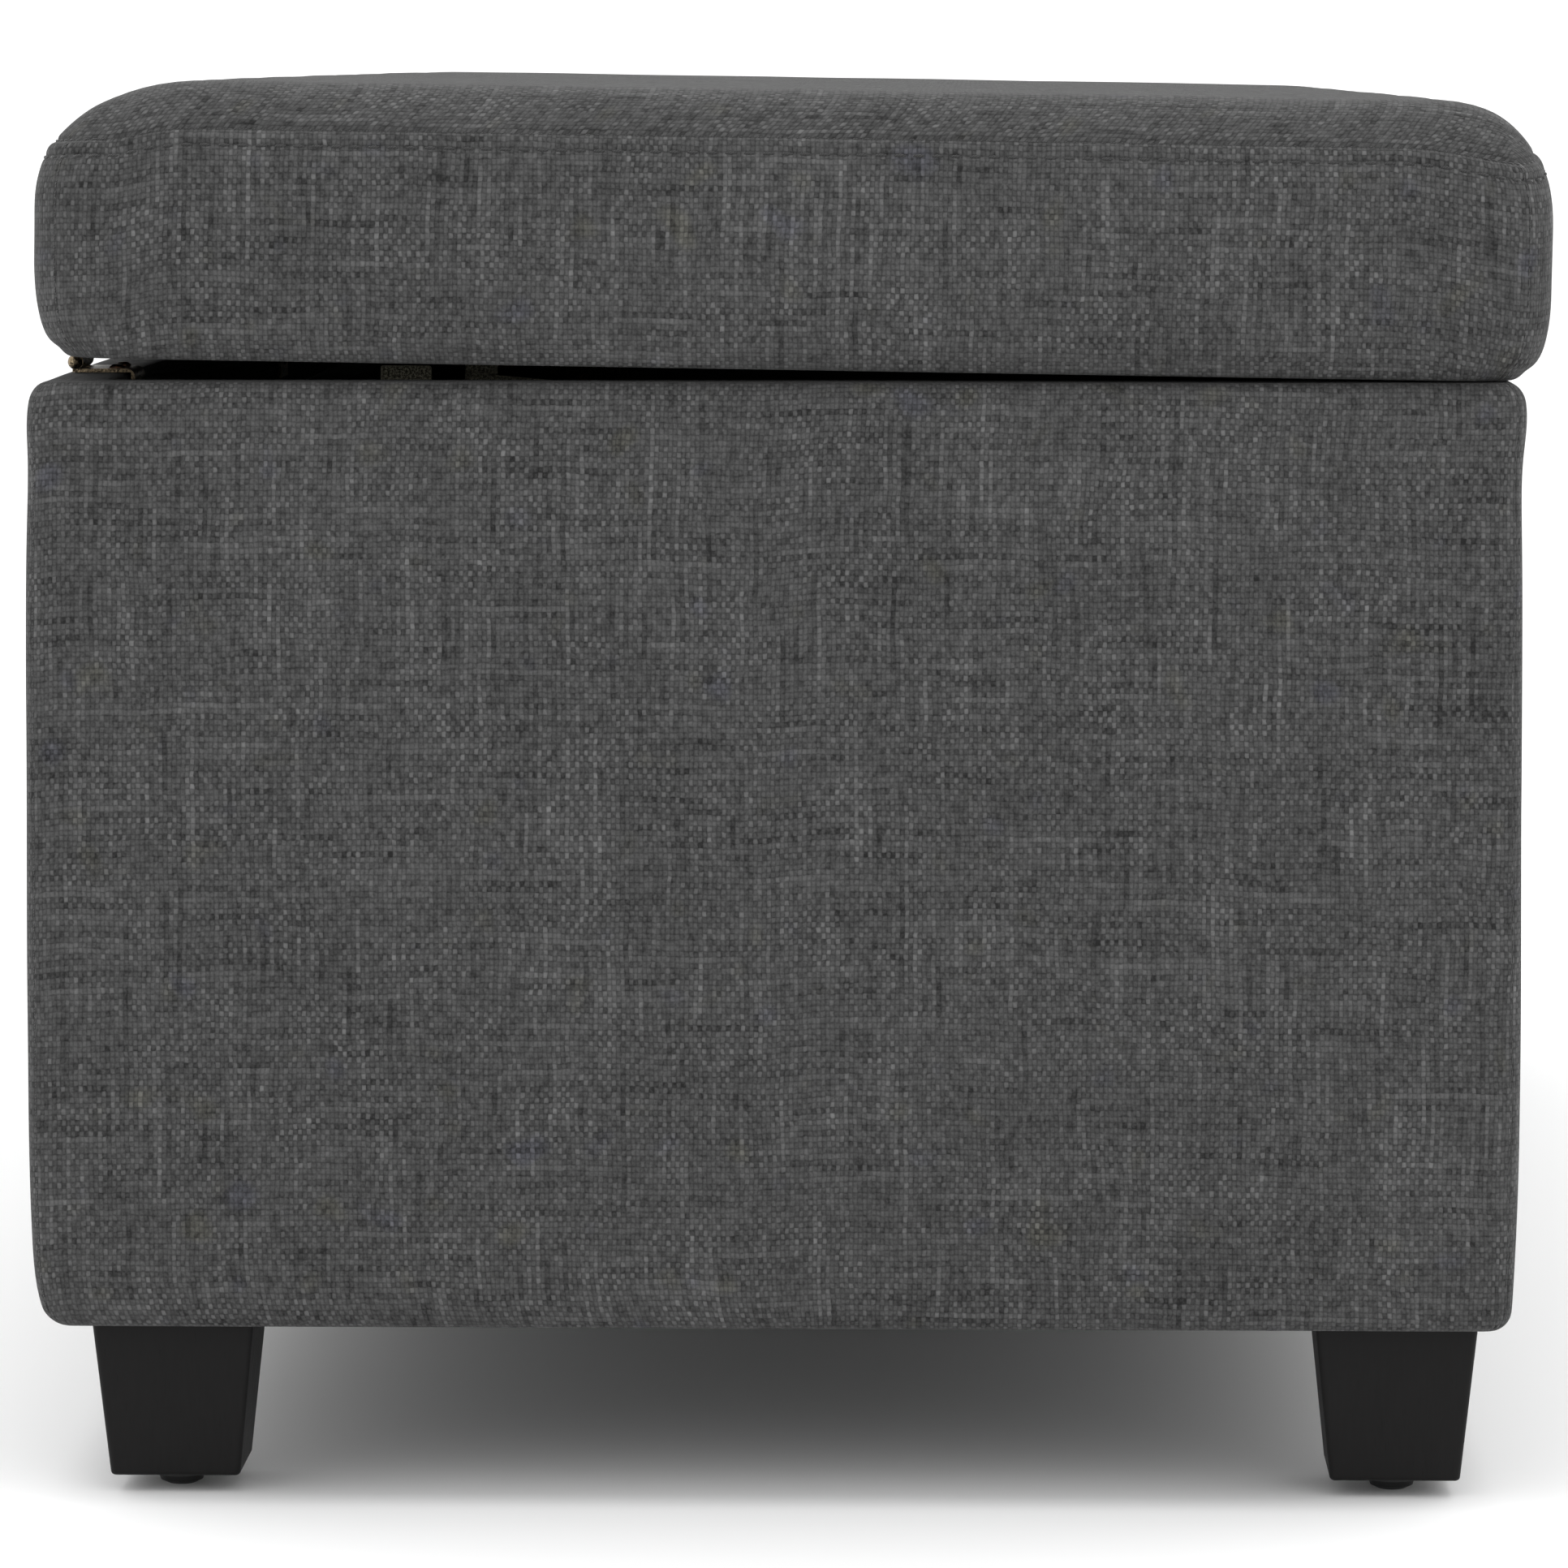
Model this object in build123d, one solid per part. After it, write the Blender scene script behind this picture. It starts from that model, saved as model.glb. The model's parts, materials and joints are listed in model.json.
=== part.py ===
from build123d import *
import os
from math import atan, atan2, cos, degrees, hypot, sin, sqrt

# Storage ottoman: an upholstered box on four tapered feet, under a padded lid on butt hinges.
# X runs along the length, the front faces -Y, the hinges are at +Y, and Z = 0 is the floor.
# The origin is the middle of the footprint, on the floor. Millimetres throughout.

# Base box, over its cover
BASE_LENGTH = 1211
BASE_DEPTH = 474
BASE_BOTTOM = 57.5
RIM_HEIGHT = 360
BASE_BACK = 241.63

# Lid, over its cover, before it leans on the front rim
LID_LENGTH = 1219
LID_DEPTH = 480
LID_THICKNESS = 87.1
LID_SETBACK = 2.2
REST_GAP = 0.3

# Layers of the walls, from the outside in
COVER_T = 1.3
PADDING_T = 10
PANEL_T = 16
LINING_T = 0.8
COVER_TURN_IN = 30
CORNER_R = 10
RIM_R = 6
RIM_INNER_R = 3

# Storage floor and the framing under it
BATTEN_T = 20
FRAMING_HEIGHT = 30
CORNER_BLOCK = 70
FLOOR_T = 6
DUST_COVER_T = 0.5
DUST_COVER_INSET = 12

# Feet, glides and their fixings
FOOT_CENTRE_X = 560
FOOT_FRONT_Y = -195.5
FOOT_BACK_Y = 198.1
FOOT_TOP = 52.2
FOOT_TIP = 41.8
FOOT_EDGE_R = 2
FOOT_SOLE_R = 1.5
GLIDE_HEIGHT = 5.8
GLIDE_R = 7.5
GLIDE_NAIL_R = 1.1
GLIDE_NAIL_LENGTH = 14
BOLT_R = 4
BOLT_LOW = 28
BOLT_PLAY = 0.05
TEE_BARREL_R = 5
TEE_BARREL_LENGTH = 12
TEE_FLANGE_R = 10.5
TEE_FLANGE_T = 1.5

# Lid layers
LID_BOARD_T = 15
LID_BOARD_INSET = 12.5
LID_BOARD_CORNER_R = 20
LID_CLOTH_T = 0.6
WADDING_T = 6
LID_TURN_UNDER = 32
LID_CORNER_R = 28
LID_TOP_R = 20
LID_BOTTOM_R = 12

# Butt hinges
HINGE_CENTRES = {"left": -520, "middle": 0, "right": 520}
HINGE_INSET = 9
HINGE_LENGTH = 30
KNUCKLE_R = 2.5
KNUCKLE_GAP = 0.2
MIDDLE_KNUCKLE = 10
LEAF_T = 1.2
LEAF_STANDOFF = 3.4
LEAF_CLEARANCE = 0.3
LEAF_NOTCH = 3.3
LEAF_TAIL = 1
LEAF_DROP = 24
LEAF_BEND_R = 4
LID_LEAF_REACH = 22
LEAF_SCREW_SETBACK = 12.9
LEAF_SCREW_OFFSET = 9
DROP_SCREW_HEIGHT = 7
LID_LEAF_GAP = 0.4
PIN_R = 1.2
PIN_PLAY = 0.05
PIN_TIP_R = 2.35

# Lid stays: a spring drum and lower arm on each end wall, an upper arm and a bracket on the lid
DRUM_FORWARD = 108.9
DRUM_DROP = 9.75
DRUM_R = 8.35
LID_PIVOT_FORWARD = 133.8
LID_PIVOT_DROP = 4.9
ARM_WIDTH = 9
EYE_R = 6
LID_EYE_R = 5.2
STUD_R = 2.5
STUD_PLAY = 0.05
OPEN_PIVOT_PLAY = 0.25
RIVET_HEAD_R = 4.5
SPRING_BORE_R = 4
PLATE_WIDTH = 40
PLATE_LOW = 301.6
PLATE_SHOULDER = 343.6
PLATE_HEAD_TOP = 364.4
PLATE_HEAD_WIDTH = 16.2
PLATE_HEAD_SHIFT = -1.9
PLATE_HEAD_R = 0.8
PLATE_SCREW_OFFSET = 13
PLATE_SCREW_EDGE = 8
FLANGE_LENGTH = 24
FLANGE_T = 1.6
FLANGE_SCREW_OFFSET = 7
FLANGE_SCREW_X = 549

# The layers of a stay, as distances from the middle of the ottoman, going inwards from an end wall
PLATE_LAYER = (577.0, 578.6)
SPRING_LAYER = (568.9, 576.8)
LOWER_ARM_LAYER = (566.2, 568.2)
SPACER_LAYER = (564.9, 566.2)
LID_RIVET_HEAD_LAYER = (564.6, 565.8)
UPPER_ARM_LAYER = (562.4, 564.4)
ELBOW_HEAD_LAYER = (560.9, 562.2)
EAR_LAYER = (560.4, 562.0)
FLANGE_LAYER = (542, 562.0)

# Screws: (length, shank radius, head radius, head height)
WALL_SCREW = (45, 2, 4, 2.4)
WALL_SCREW_HEIGHTS = (110, 205, 300)
LEAF_SCREW = (13, 1.3, 2.5, 1.2)
PLATE_SCREW = (14, 1.75, 3.5, 1.8)
SCREW_HOLE_PLAY = 0.3

# Staples that hold the cloths under the base and under the lid
STAPLE_CROWN = 10
STAPLE_WIRE = 0.7
STAPLE_LEG = 6
STAPLE_PITCH = 62

# Worked out from the dimensions above
BASE_HALF = BASE_LENGTH / 2
BASE_FRONT = BASE_BACK - BASE_DEPTH
PANEL_HALF = BASE_HALF - PADDING_T
PANEL_BACK = BASE_BACK - PADDING_T
PANEL_FRONT = BASE_FRONT + PADDING_T
INSIDE_HALF = PANEL_HALF - PANEL_T
INSIDE_BACK = PANEL_BACK - PANEL_T
INSIDE_FRONT = PANEL_FRONT + PANEL_T
FRAMING_TOP = BASE_BOTTOM + FRAMING_HEIGHT
FLOOR_TOP = FRAMING_TOP + FLOOR_T
TURN_IN_EDGE = RIM_HEIGHT - COVER_TURN_IN
FOOT_SEAT = BASE_BOTTOM - DUST_COVER_T

AXIS_Y = BASE_BACK - HINGE_INSET
AXIS_Z = RIM_HEIGHT + LEAF_CLEARANCE + LEAF_STANDOFF
LID_UNDER = AXIS_Z + LEAF_STANDOFF + LID_LEAF_GAP
LID_BOARD_UNDER = LID_UNDER + COVER_T
LID_HALF = LID_LENGTH / 2
LID_BACK = BASE_BACK - LID_SETBACK
LID_FRONT = LID_BACK - LID_DEPTH
LID_LEAN = atan((LID_UNDER - RIM_HEIGHT - REST_GAP) / (AXIS_Y - BASE_FRONT - RIM_R))
HINGE_LINE = Axis((0, AXIS_Y, AXIS_Z), (1, 0, 0))

DRUM = (AXIS_Y - DRUM_FORWARD, AXIS_Z - DRUM_DROP)
LID_PIVOT = (AXIS_Y - LID_PIVOT_FORWARD, AXIS_Z - LID_PIVOT_DROP)


def leaned(shape):
    """A piece of the level lid, turned about the hinge line until the lid rests on the front rim."""
    return shape.rotate(HINGE_LINE, degrees(LID_LEAN))


def leaned_point(point):
    """The same turn for a (Y, Z) point."""
    y = point[0] - AXIS_Y
    z = point[1] - AXIS_Z
    c = cos(LID_LEAN)
    s = sin(LID_LEAN)
    return (AXIS_Y + c * y - s * z, AXIS_Z + s * y + c * z)


# The four pivots of a stay are a parallelogram: hinge line, drum, elbow and lid pivot.
CLOSED_LID_PIVOT = leaned_point(LID_PIVOT)
ELBOW = (DRUM[0] + CLOSED_LID_PIVOT[0] - AXIS_Y, DRUM[1] + CLOSED_LID_PIVOT[1] - AXIS_Z)


# Shapes used more than once

def block(x0, x1, y0, y1, z0, z1):
    """A box between two corners."""
    return Pos((x0 + x1) / 2, (y0 + y1) / 2, (z0 + z1) / 2) * Box(x1 - x0, y1 - y0, z1 - z0)


def rounded_block(limits, corner_r, top_r, bottom_r):
    """A box with its upright edges, top edges and bottom edges rounded."""
    shape = block(*limits)
    shape = fillet(shape.edges().filter_by(Axis.Z), corner_r)
    shape = fillet(shape.faces().sort_by(Axis.Z)[-1].edges(), top_r)
    return fillet(shape.faces().sort_by(Axis.Z)[0].edges(), bottom_r)


def upright(r, z0, z1):
    """A cylinder about Z between two heights."""
    return Pos(0, 0, (z0 + z1) / 2) * Cylinder(r, z1 - z0)


def turned(*points):
    """A solid of revolution about Z from (radius, height) points."""
    outline = Polyline(*points, close=True)
    return revolve(make_face(Plane.XZ * outline), Axis.Z)


def screw(length, shank_r, head_r, head_t):
    """A pan-head wood screw that points down, with the underside of its head at Z = 0."""
    return turned(
        (0, head_t),
        (0.6 * head_r, head_t),
        (head_r, 0.4 * head_t),
        (head_r, 0),
        (shank_r, 0),
        (shank_r, 3 * shank_r - length),
        (0, -length),
    )


def driven(shape, at, into):
    """A fastener placed at a point and driven along a direction."""
    return Plane(origin=at, z_dir=(-into[0], -into[1], -into[2])) * shape


def screw_hole(kind, at, into):
    """The clearance hole for a screw through a metal leaf or plate."""
    return driven(Cylinder(kind[1] + SCREW_HOLE_PLAY, 6 * LEAF_T), at, into)


def flat(side, layer, sketch):
    """A (Y, Z) sketch made into a plate that fills one layer of the stay on one side."""
    start = min(side * layer[0], side * layer[1])
    return Pos(start, 0, 0) * extrude(Plane.YZ * sketch, amount=layer[1] - layer[0])


def disc(point, r):
    """A circle in the (Y, Z) sketch plane."""
    return Pos(*point) * Circle(r)


def bar(start, end, width):
    """A straight strip between two (Y, Z) points."""
    dy = end[0] - start[0]
    dz = end[1] - start[1]
    middle = Pos((start[0] + end[0]) / 2, (start[1] + end[1]) / 2)
    return middle * Rot(0, 0, degrees(atan2(dz, dy))) * Rectangle(hypot(dy, dz), width)


def save(node, *shapes):
    """Writes one node. A group of identical pieces stays a group of separate solids."""
    solids = [solid for shape in shapes for solid in shape.solids()]
    export_step(solids[0] if len(solids) == 1 else Compound(solids), f"parts/{node}.step")


# Base: panels, padding, cover and lining

def wall_ring(inset, well_inset, well_r):
    """The upholstered wall ring round the storage well, each face moved into the ring by its inset."""
    limits = (
        inset - BASE_HALF, BASE_HALF - inset,
        BASE_FRONT + inset, BASE_BACK - inset,
        BASE_BOTTOM + inset, RIM_HEIGHT - inset,
    )
    outer = rounded_block(limits, CORNER_R - inset, RIM_R - inset, RIM_R - inset)
    half = INSIDE_HALF + well_inset
    well = block(-half, half, INSIDE_FRONT - well_inset, INSIDE_BACK + well_inset, 0, RIM_HEIGHT)
    ring = outer - well
    return fillet(ring.faces().sort_by(Axis.Z)[-1].inner_wires()[0].edges(), well_r)


def save_walls(core):
    """Panels and foam sheets, cut from one ring so that they meet face to face."""
    heights = (0, RIM_HEIGHT)
    regions = {
        "front_panel": (-PANEL_HALF, PANEL_HALF, PANEL_FRONT, INSIDE_FRONT),
        "back_panel": (-PANEL_HALF, PANEL_HALF, INSIDE_BACK, PANEL_BACK),
        "left_end_panel": (-PANEL_HALF, -INSIDE_HALF, INSIDE_FRONT, INSIDE_BACK),
        "right_end_panel": (INSIDE_HALF, PANEL_HALF, INSIDE_FRONT, INSIDE_BACK),
        "front_foam": (-BASE_HALF, BASE_HALF, BASE_FRONT, PANEL_FRONT),
        "back_foam": (-BASE_HALF, BASE_HALF, PANEL_BACK, BASE_BACK),
        "left_foam": (-BASE_HALF, -PANEL_HALF, PANEL_FRONT, PANEL_BACK),
        "right_foam": (PANEL_HALF, BASE_HALF, PANEL_FRONT, PANEL_BACK),
    }
    for node, limits in regions.items():
        save(node, core & block(*limits, *heights))


def base_cover(core):
    """The base's fabric: round the outside, over the rim and a short way down the inside."""
    skin = wall_ring(0, -LINING_T, RIM_INNER_R + LINING_T) - core
    below_turn_in = block(
        -INSIDE_HALF, INSIDE_HALF, INSIDE_FRONT, INSIDE_BACK, 0, TURN_IN_EDGE
    )
    under = block(
        DUST_COVER_INSET - BASE_HALF, BASE_HALF - DUST_COVER_INSET,
        BASE_FRONT + DUST_COVER_INSET, BASE_BACK - DUST_COVER_INSET,
        0, BASE_BOTTOM + COVER_T,
    )
    return skin - below_turn_in - under


def lining_walls():
    """The band of lining cloth on the four inner walls, below the cover's turned-in edge."""
    band = block(
        -INSIDE_HALF, INSIDE_HALF, INSIDE_FRONT, INSIDE_BACK,
        FLOOR_TOP + LINING_T, TURN_IN_EDGE,
    )
    hollow = block(
        LINING_T - INSIDE_HALF, INSIDE_HALF - LINING_T,
        INSIDE_FRONT + LINING_T, INSIDE_BACK - LINING_T,
        0, RIM_HEIGHT,
    )
    return band - hollow


def wall_screws():
    """Three screws at each corner, through the front and back panels into the end panels."""
    placed = []
    for y, into in ((PANEL_FRONT, 1), (PANEL_BACK, -1)):
        for side in (-1, 1):
            for height in WALL_SCREW_HEIGHTS:
                x = side * (PANEL_HALF - PANEL_T / 2)
                sunk = y + into * WALL_SCREW[3]
                placed.append(driven(screw(*WALL_SCREW), (x, sunk, height), (0, into, 0)))
    return placed


# Base: framing, floor, feet and underside

def foot_places():
    """(name, X, Y) of each foot."""
    return [
        (f"{row}_{side}", x, y)
        for row, y in (("front", FOOT_FRONT_Y), ("back", FOOT_BACK_Y))
        for side, x in (("left", -FOOT_CENTRE_X), ("right", FOOT_CENTRE_X))
    ]


def tee_nut_outline(play):
    """The stepped outline of a tee nut, or of its pocket, down to the underside of the framing."""
    low = FRAMING_TOP - TEE_BARREL_LENGTH
    step = FRAMING_TOP - TEE_FLANGE_T
    return (
        (BOLT_R + BOLT_PLAY, low - play),
        (TEE_BARREL_R + play, low - play),
        (TEE_BARREL_R + play, step - play),
        (TEE_FLANGE_R + play, step - play),
        (TEE_FLANGE_R + play, FRAMING_TOP),
    )


def tee_nut():
    """A flanged nut let into the top of a corner block."""
    return turned(*tee_nut_outline(0), (BOLT_R + BOLT_PLAY, FRAMING_TOP))


def corner_block(x, y):
    """The pine block that takes one foot, drilled for the foot's bolt and its tee nut."""
    inner_x = INSIDE_HALF - CORNER_BLOCK
    x0, x1 = (-INSIDE_HALF, -inner_x) if x < 0 else (inner_x, INSIDE_HALF)
    if y < 0:
        y0, y1 = INSIDE_FRONT, INSIDE_FRONT + CORNER_BLOCK
    else:
        y0, y1 = INSIDE_BACK - CORNER_BLOCK, INSIDE_BACK
    drilling = turned(
        (0, 0), (BOLT_R + BOLT_PLAY, 0), *tee_nut_outline(BOLT_PLAY), (0, FRAMING_TOP)
    )
    return block(x0, x1, y0, y1, BASE_BOTTOM, FRAMING_TOP) - Pos(x, y, 0) * drilling


def batten(y0, y1):
    """A long batten between two corner blocks."""
    half = INSIDE_HALF - CORNER_BLOCK
    return block(-half, half, y0, y1, BASE_BOTTOM, FRAMING_TOP)


def foot():
    """A square wooden foot that tapers to its tip, drilled for its bolt and its glide's nail."""
    tip = Pos(0, 0, GLIDE_HEIGHT) * RectangleRounded(FOOT_TIP, FOOT_TIP, FOOT_EDGE_R)
    seat = Pos(0, 0, FOOT_SEAT) * RectangleRounded(FOOT_TOP, FOOT_TOP, FOOT_EDGE_R)
    body = loft([tip, seat], ruled=True)
    body = fillet(body.faces().sort_by(Axis.Z)[0].edges(), FOOT_SOLE_R)
    bolt_hole = upright(BOLT_R + BOLT_PLAY, BOLT_LOW - 1, FOOT_SEAT)
    nail_top = GLIDE_HEIGHT + GLIDE_NAIL_LENGTH + 1
    return body - bolt_hole - upright(GLIDE_NAIL_R + BOLT_PLAY, GLIDE_HEIGHT, nail_top)


def foot_bolt():
    """The stud that joins a foot to its tee nut."""
    return upright(BOLT_R, BOLT_LOW, FRAMING_TOP - TEE_FLANGE_T)


def glide():
    """A nail-on plastic glide with a slightly domed sole."""
    return turned(
        (0, 0),
        (0.6 * GLIDE_R, 0),
        (0.92 * GLIDE_R, 0.2 * GLIDE_HEIGHT),
        (GLIDE_R, 0.5 * GLIDE_HEIGHT),
        (GLIDE_R, GLIDE_HEIGHT),
        (GLIDE_NAIL_R, GLIDE_HEIGHT),
        (GLIDE_NAIL_R, GLIDE_HEIGHT + GLIDE_NAIL_LENGTH - 3),
        (0, GLIDE_HEIGHT + GLIDE_NAIL_LENGTH),
    )


def dust_cover():
    """The thin cloth that closes the underside, pierced by the foot bolts."""
    cloth = block(
        DUST_COVER_INSET - BASE_HALF, BASE_HALF - DUST_COVER_INSET,
        BASE_FRONT + DUST_COVER_INSET, BASE_BACK - DUST_COVER_INSET,
        FOOT_SEAT, BASE_BOTTOM,
    )
    for _, x, y in foot_places():
        cloth -= Pos(x, y, 0) * upright(BOLT_R + BOLT_PLAY, FOOT_SEAT, BASE_BOTTOM)
    return cloth


def staple():
    """A staple that points up, with the top of its crown at Z = 0."""
    crown = block(
        -STAPLE_CROWN / 2, STAPLE_CROWN / 2, -STAPLE_WIRE / 2, STAPLE_WIRE / 2, -STAPLE_WIRE, 0
    )
    leg = block(-STAPLE_WIRE / 2, STAPLE_WIRE / 2, -STAPLE_WIRE / 2, STAPLE_WIRE / 2, 0, STAPLE_LEG)
    reach = (STAPLE_CROWN - STAPLE_WIRE) / 2
    return crown + Pos(-reach, 0, 0) * leg + Pos(reach, 0, 0) * leg


def staple_row(half_length, front, back, height, end_clearance):
    """Staples at an even pitch round a rectangle, kept clear of its corners."""
    one = staple()
    placed = []
    run = 2 * (half_length - end_clearance)
    count = round(run / STAPLE_PITCH)
    for i in range(count + 1):
        x = i * run / count - run / 2
        placed += [Pos(x, front, height) * one, Pos(x, back, height) * one]
    run = back - front - 2 * end_clearance
    count = round(run / STAPLE_PITCH)
    for i in range(count + 1):
        y = front + end_clearance + i * run / count
        placed += [Pos(side * half_length, y, height) * Rot(0, 0, 90) * one for side in (-1, 1)]
    return placed


# Lid

def lid_block(inset):
    """The level lid's rounded outer shape, moved in by an inset."""
    limits = (
        inset - LID_HALF, LID_HALF - inset,
        LID_FRONT + inset, LID_BACK - inset,
        LID_UNDER + inset, LID_UNDER + LID_THICKNESS - inset,
    )
    return rounded_block(limits, LID_CORNER_R - inset, LID_TOP_R - inset, LID_BOTTOM_R - inset)


def lid_board():
    """The plywood board that the lid is built on."""
    board = block(
        LID_BOARD_INSET - LID_HALF, LID_HALF - LID_BOARD_INSET,
        LID_FRONT + LID_BOARD_INSET, LID_BACK - LID_BOARD_INSET,
        LID_BOARD_UNDER, LID_BOARD_UNDER + LID_BOARD_T,
    )
    return fillet(board.edges().filter_by(Axis.Z), LID_BOARD_CORNER_R)


def under_lid_region(margin, z0, z1):
    """The underside of the lid inside a margin."""
    return block(
        margin - LID_HALF, LID_HALF - margin, LID_FRONT + margin, LID_BACK - margin, z0, z1
    )


def save_lid_layers():
    """Board, foam, wadding, cover and underside cloth, nested in each other."""
    outer = lid_block(0)
    inner = lid_block(COVER_T)
    board = lid_board()
    wadding_under = LID_UNDER + LID_THICKNESS - COVER_T - WADDING_T
    top = LID_UNDER + LID_THICKNESS
    upper = block(-LID_HALF, LID_HALF, LID_FRONT, LID_BACK, wadding_under, top)
    opening = under_lid_region(LID_TURN_UNDER, LID_UNDER, LID_BOARD_UNDER)
    save("lid_board", leaned(board))
    save("lid_wadding", leaned(inner & upper))
    save("lid_foam", leaned(inner - upper - board))
    save("lid_cover", leaned(outer - inner - opening))
    cloth = under_lid_region(LID_TURN_UNDER, LID_BOARD_UNDER - LID_CLOTH_T, LID_BOARD_UNDER)
    save("lid_underside_cloth", leaned(cloth))
    inset = LID_TURN_UNDER + STAPLE_CROWN
    staples = staple_row(
        LID_HALF - inset, LID_FRONT + inset, LID_BACK - inset,
        LID_BOARD_UNDER - LID_CLOTH_T, STAPLE_PITCH / 2,
    )
    save("lid_staples", *[leaned(one) for one in staples])


# Butt hinges

def knuckle(x, start, end):
    """A length of barrel round the hinge line, without its bore."""
    across = Plane(origin=(x + start, AXIS_Y, AXIS_Z), z_dir=(1, 0, 0))
    return across * Cylinder(KNUCKLE_R, end - start, align=(Align.CENTER, Align.CENTER, Align.MIN))


def pin_bore(x):
    """The bore for a hinge pin, through every knuckle."""
    across = Plane(origin=(x, AXIS_Y, AXIS_Z), z_dir=(1, 0, 0))
    return across * Cylinder(PIN_R + PIN_PLAY, 2 * HINGE_LENGTH)


def leaf_screw_places(x):
    """Where the screws through the flat parts of a hinge's two leaves go, as (X, Y)."""
    y = AXIS_Y - LEAF_SCREW_SETBACK
    return [(x - LEAF_SCREW_OFFSET, y), (x + LEAF_SCREW_OFFSET, y)]


def body_leaf(x):
    """The lower leaf: flat on the back wall's rim, bent down over its inner edge, with two knuckles."""
    half = HINGE_LENGTH / 2
    outer_z = AXIS_Z - LEAF_STANDOFF
    inner_z = outer_z + LEAF_T
    drop_back = INSIDE_BACK - LINING_T - LEAF_CLEARANCE
    drop_front = drop_back - LEAF_T
    top = block(x - half, x + half, drop_front, AXIS_Y - LEAF_NOTCH, outer_z, inner_z)
    drop = block(x - half, x + half, drop_front, drop_back, outer_z - LEAF_DROP, inner_z)
    leaf = top + drop
    bend = leaf.edges().filter_by(Axis.X).group_by(Axis.Z)[-1].sort_by(Axis.Y)[0]
    leaf = fillet(bend, LEAF_BEND_R - LEAF_T)
    reach = MIDDLE_KNUCKLE / 2 + KNUCKLE_GAP
    for start, end in ((-half, -reach), (reach, half)):
        tail = block(x + start, x + end, AXIS_Y - LEAF_NOTCH, AXIS_Y + LEAF_TAIL, outer_z, inner_z)
        leaf += tail + knuckle(x, start, end)
    for sx, sy in leaf_screw_places(x):
        leaf -= screw_hole(LEAF_SCREW, (sx, sy, inner_z), (0, 0, -1))
    drop_screw_z = outer_z - LEAF_DROP + DROP_SCREW_HEIGHT
    leaf -= screw_hole(LEAF_SCREW, (x, drop_front, drop_screw_z), (0, 1, 0))
    return leaf - pin_bore(x)


def lid_leaf(x):
    """The upper leaf: flat under the lid, with the middle knuckle."""
    half = HINGE_LENGTH / 2
    reach = MIDDLE_KNUCKLE / 2
    low = AXIS_Z + LEAF_STANDOFF - LEAF_T
    high = AXIS_Z + LEAF_STANDOFF
    leaf = block(x - half, x + half, AXIS_Y - LID_LEAF_REACH, AXIS_Y - LEAF_NOTCH, low, high)
    leaf = fillet(leaf.edges().filter_by(Axis.Z).sort_by(Axis.Y)[:2], 3)
    leaf += block(x - reach, x + reach, AXIS_Y - LEAF_NOTCH, AXIS_Y + LEAF_TAIL, low, high)
    leaf += knuckle(x, -reach, reach)
    for sx, sy in leaf_screw_places(x):
        leaf -= screw_hole(LEAF_SCREW, (sx, sy, low), (0, 0, 1))
    return leaf - pin_bore(x)


def hinge_pin(x):
    """A loose-fitting pin with a ball tip at each end of the barrel."""
    ball = HINGE_LENGTH / 2 + 0.6 * PIN_TIP_R
    tip = ball + PIN_TIP_R
    neck = HINGE_LENGTH / 2 + PIN_PLAY
    neck_r = sqrt(PIN_TIP_R**2 - (ball - neck) ** 2)
    outline = Wire([
        ThreePointArc((tip, 0), (ball, PIN_TIP_R), (neck, neck_r)),
        Line((neck, neck_r), (neck, PIN_R)),
        Line((neck, PIN_R), (-neck, PIN_R)),
        Line((-neck, PIN_R), (-neck, neck_r)),
        ThreePointArc((-neck, neck_r), (-ball, PIN_TIP_R), (-tip, 0)),
        Line((-tip, 0), (tip, 0)),
    ])
    return Pos(x, AXIS_Y, AXIS_Z) * revolve(make_face(outline), Axis.X)


def body_leaf_screws(x):
    """Two screws down into the back panel and one into its inner face."""
    inner_z = AXIS_Z - LEAF_STANDOFF + LEAF_T
    drop_front = INSIDE_BACK - LINING_T - LEAF_CLEARANCE - LEAF_T
    low = AXIS_Z - LEAF_STANDOFF - LEAF_DROP + DROP_SCREW_HEIGHT
    one = screw(*LEAF_SCREW)
    down = [driven(one, (sx, sy, inner_z), (0, 0, -1)) for sx, sy in leaf_screw_places(x)]
    return down + [driven(one, (x, drop_front, low), (0, 1, 0))]


def lid_leaf_screws(x):
    """Two screws up into the lid board."""
    low = AXIS_Z + LEAF_STANDOFF - LEAF_T
    one = screw(*LEAF_SCREW)
    return [driven(one, (sx, sy, low), (0, 0, 1)) for sx, sy in leaf_screw_places(x)]


# Lid stays

def stay_plate(side):
    """The bracket on an end wall, with a square head behind the spring drum."""
    low = (DRUM[0], (PLATE_LOW + PLATE_SHOULDER) / 2)
    foot_of_plate = Pos(*low) * RectangleRounded(PLATE_WIDTH, PLATE_SHOULDER - PLATE_LOW, 6)
    head_low = PLATE_SHOULDER - 8
    head_at = (DRUM[0] + PLATE_HEAD_SHIFT, (head_low + PLATE_HEAD_TOP) / 2)
    head = Pos(*head_at) * RectangleRounded(
        PLATE_HEAD_WIDTH, PLATE_HEAD_TOP - head_low, PLATE_HEAD_R
    )
    shape = foot_of_plate + head - disc(DRUM, STUD_R + STUD_PLAY)
    plate = flat(side, PLATE_LAYER, shape)
    for y, z in stay_plate_screw_places():
        plate -= screw_hole(PLATE_SCREW, (side * PLATE_LAYER[0], y, z), (side, 0, 0))
    return plate


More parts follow.
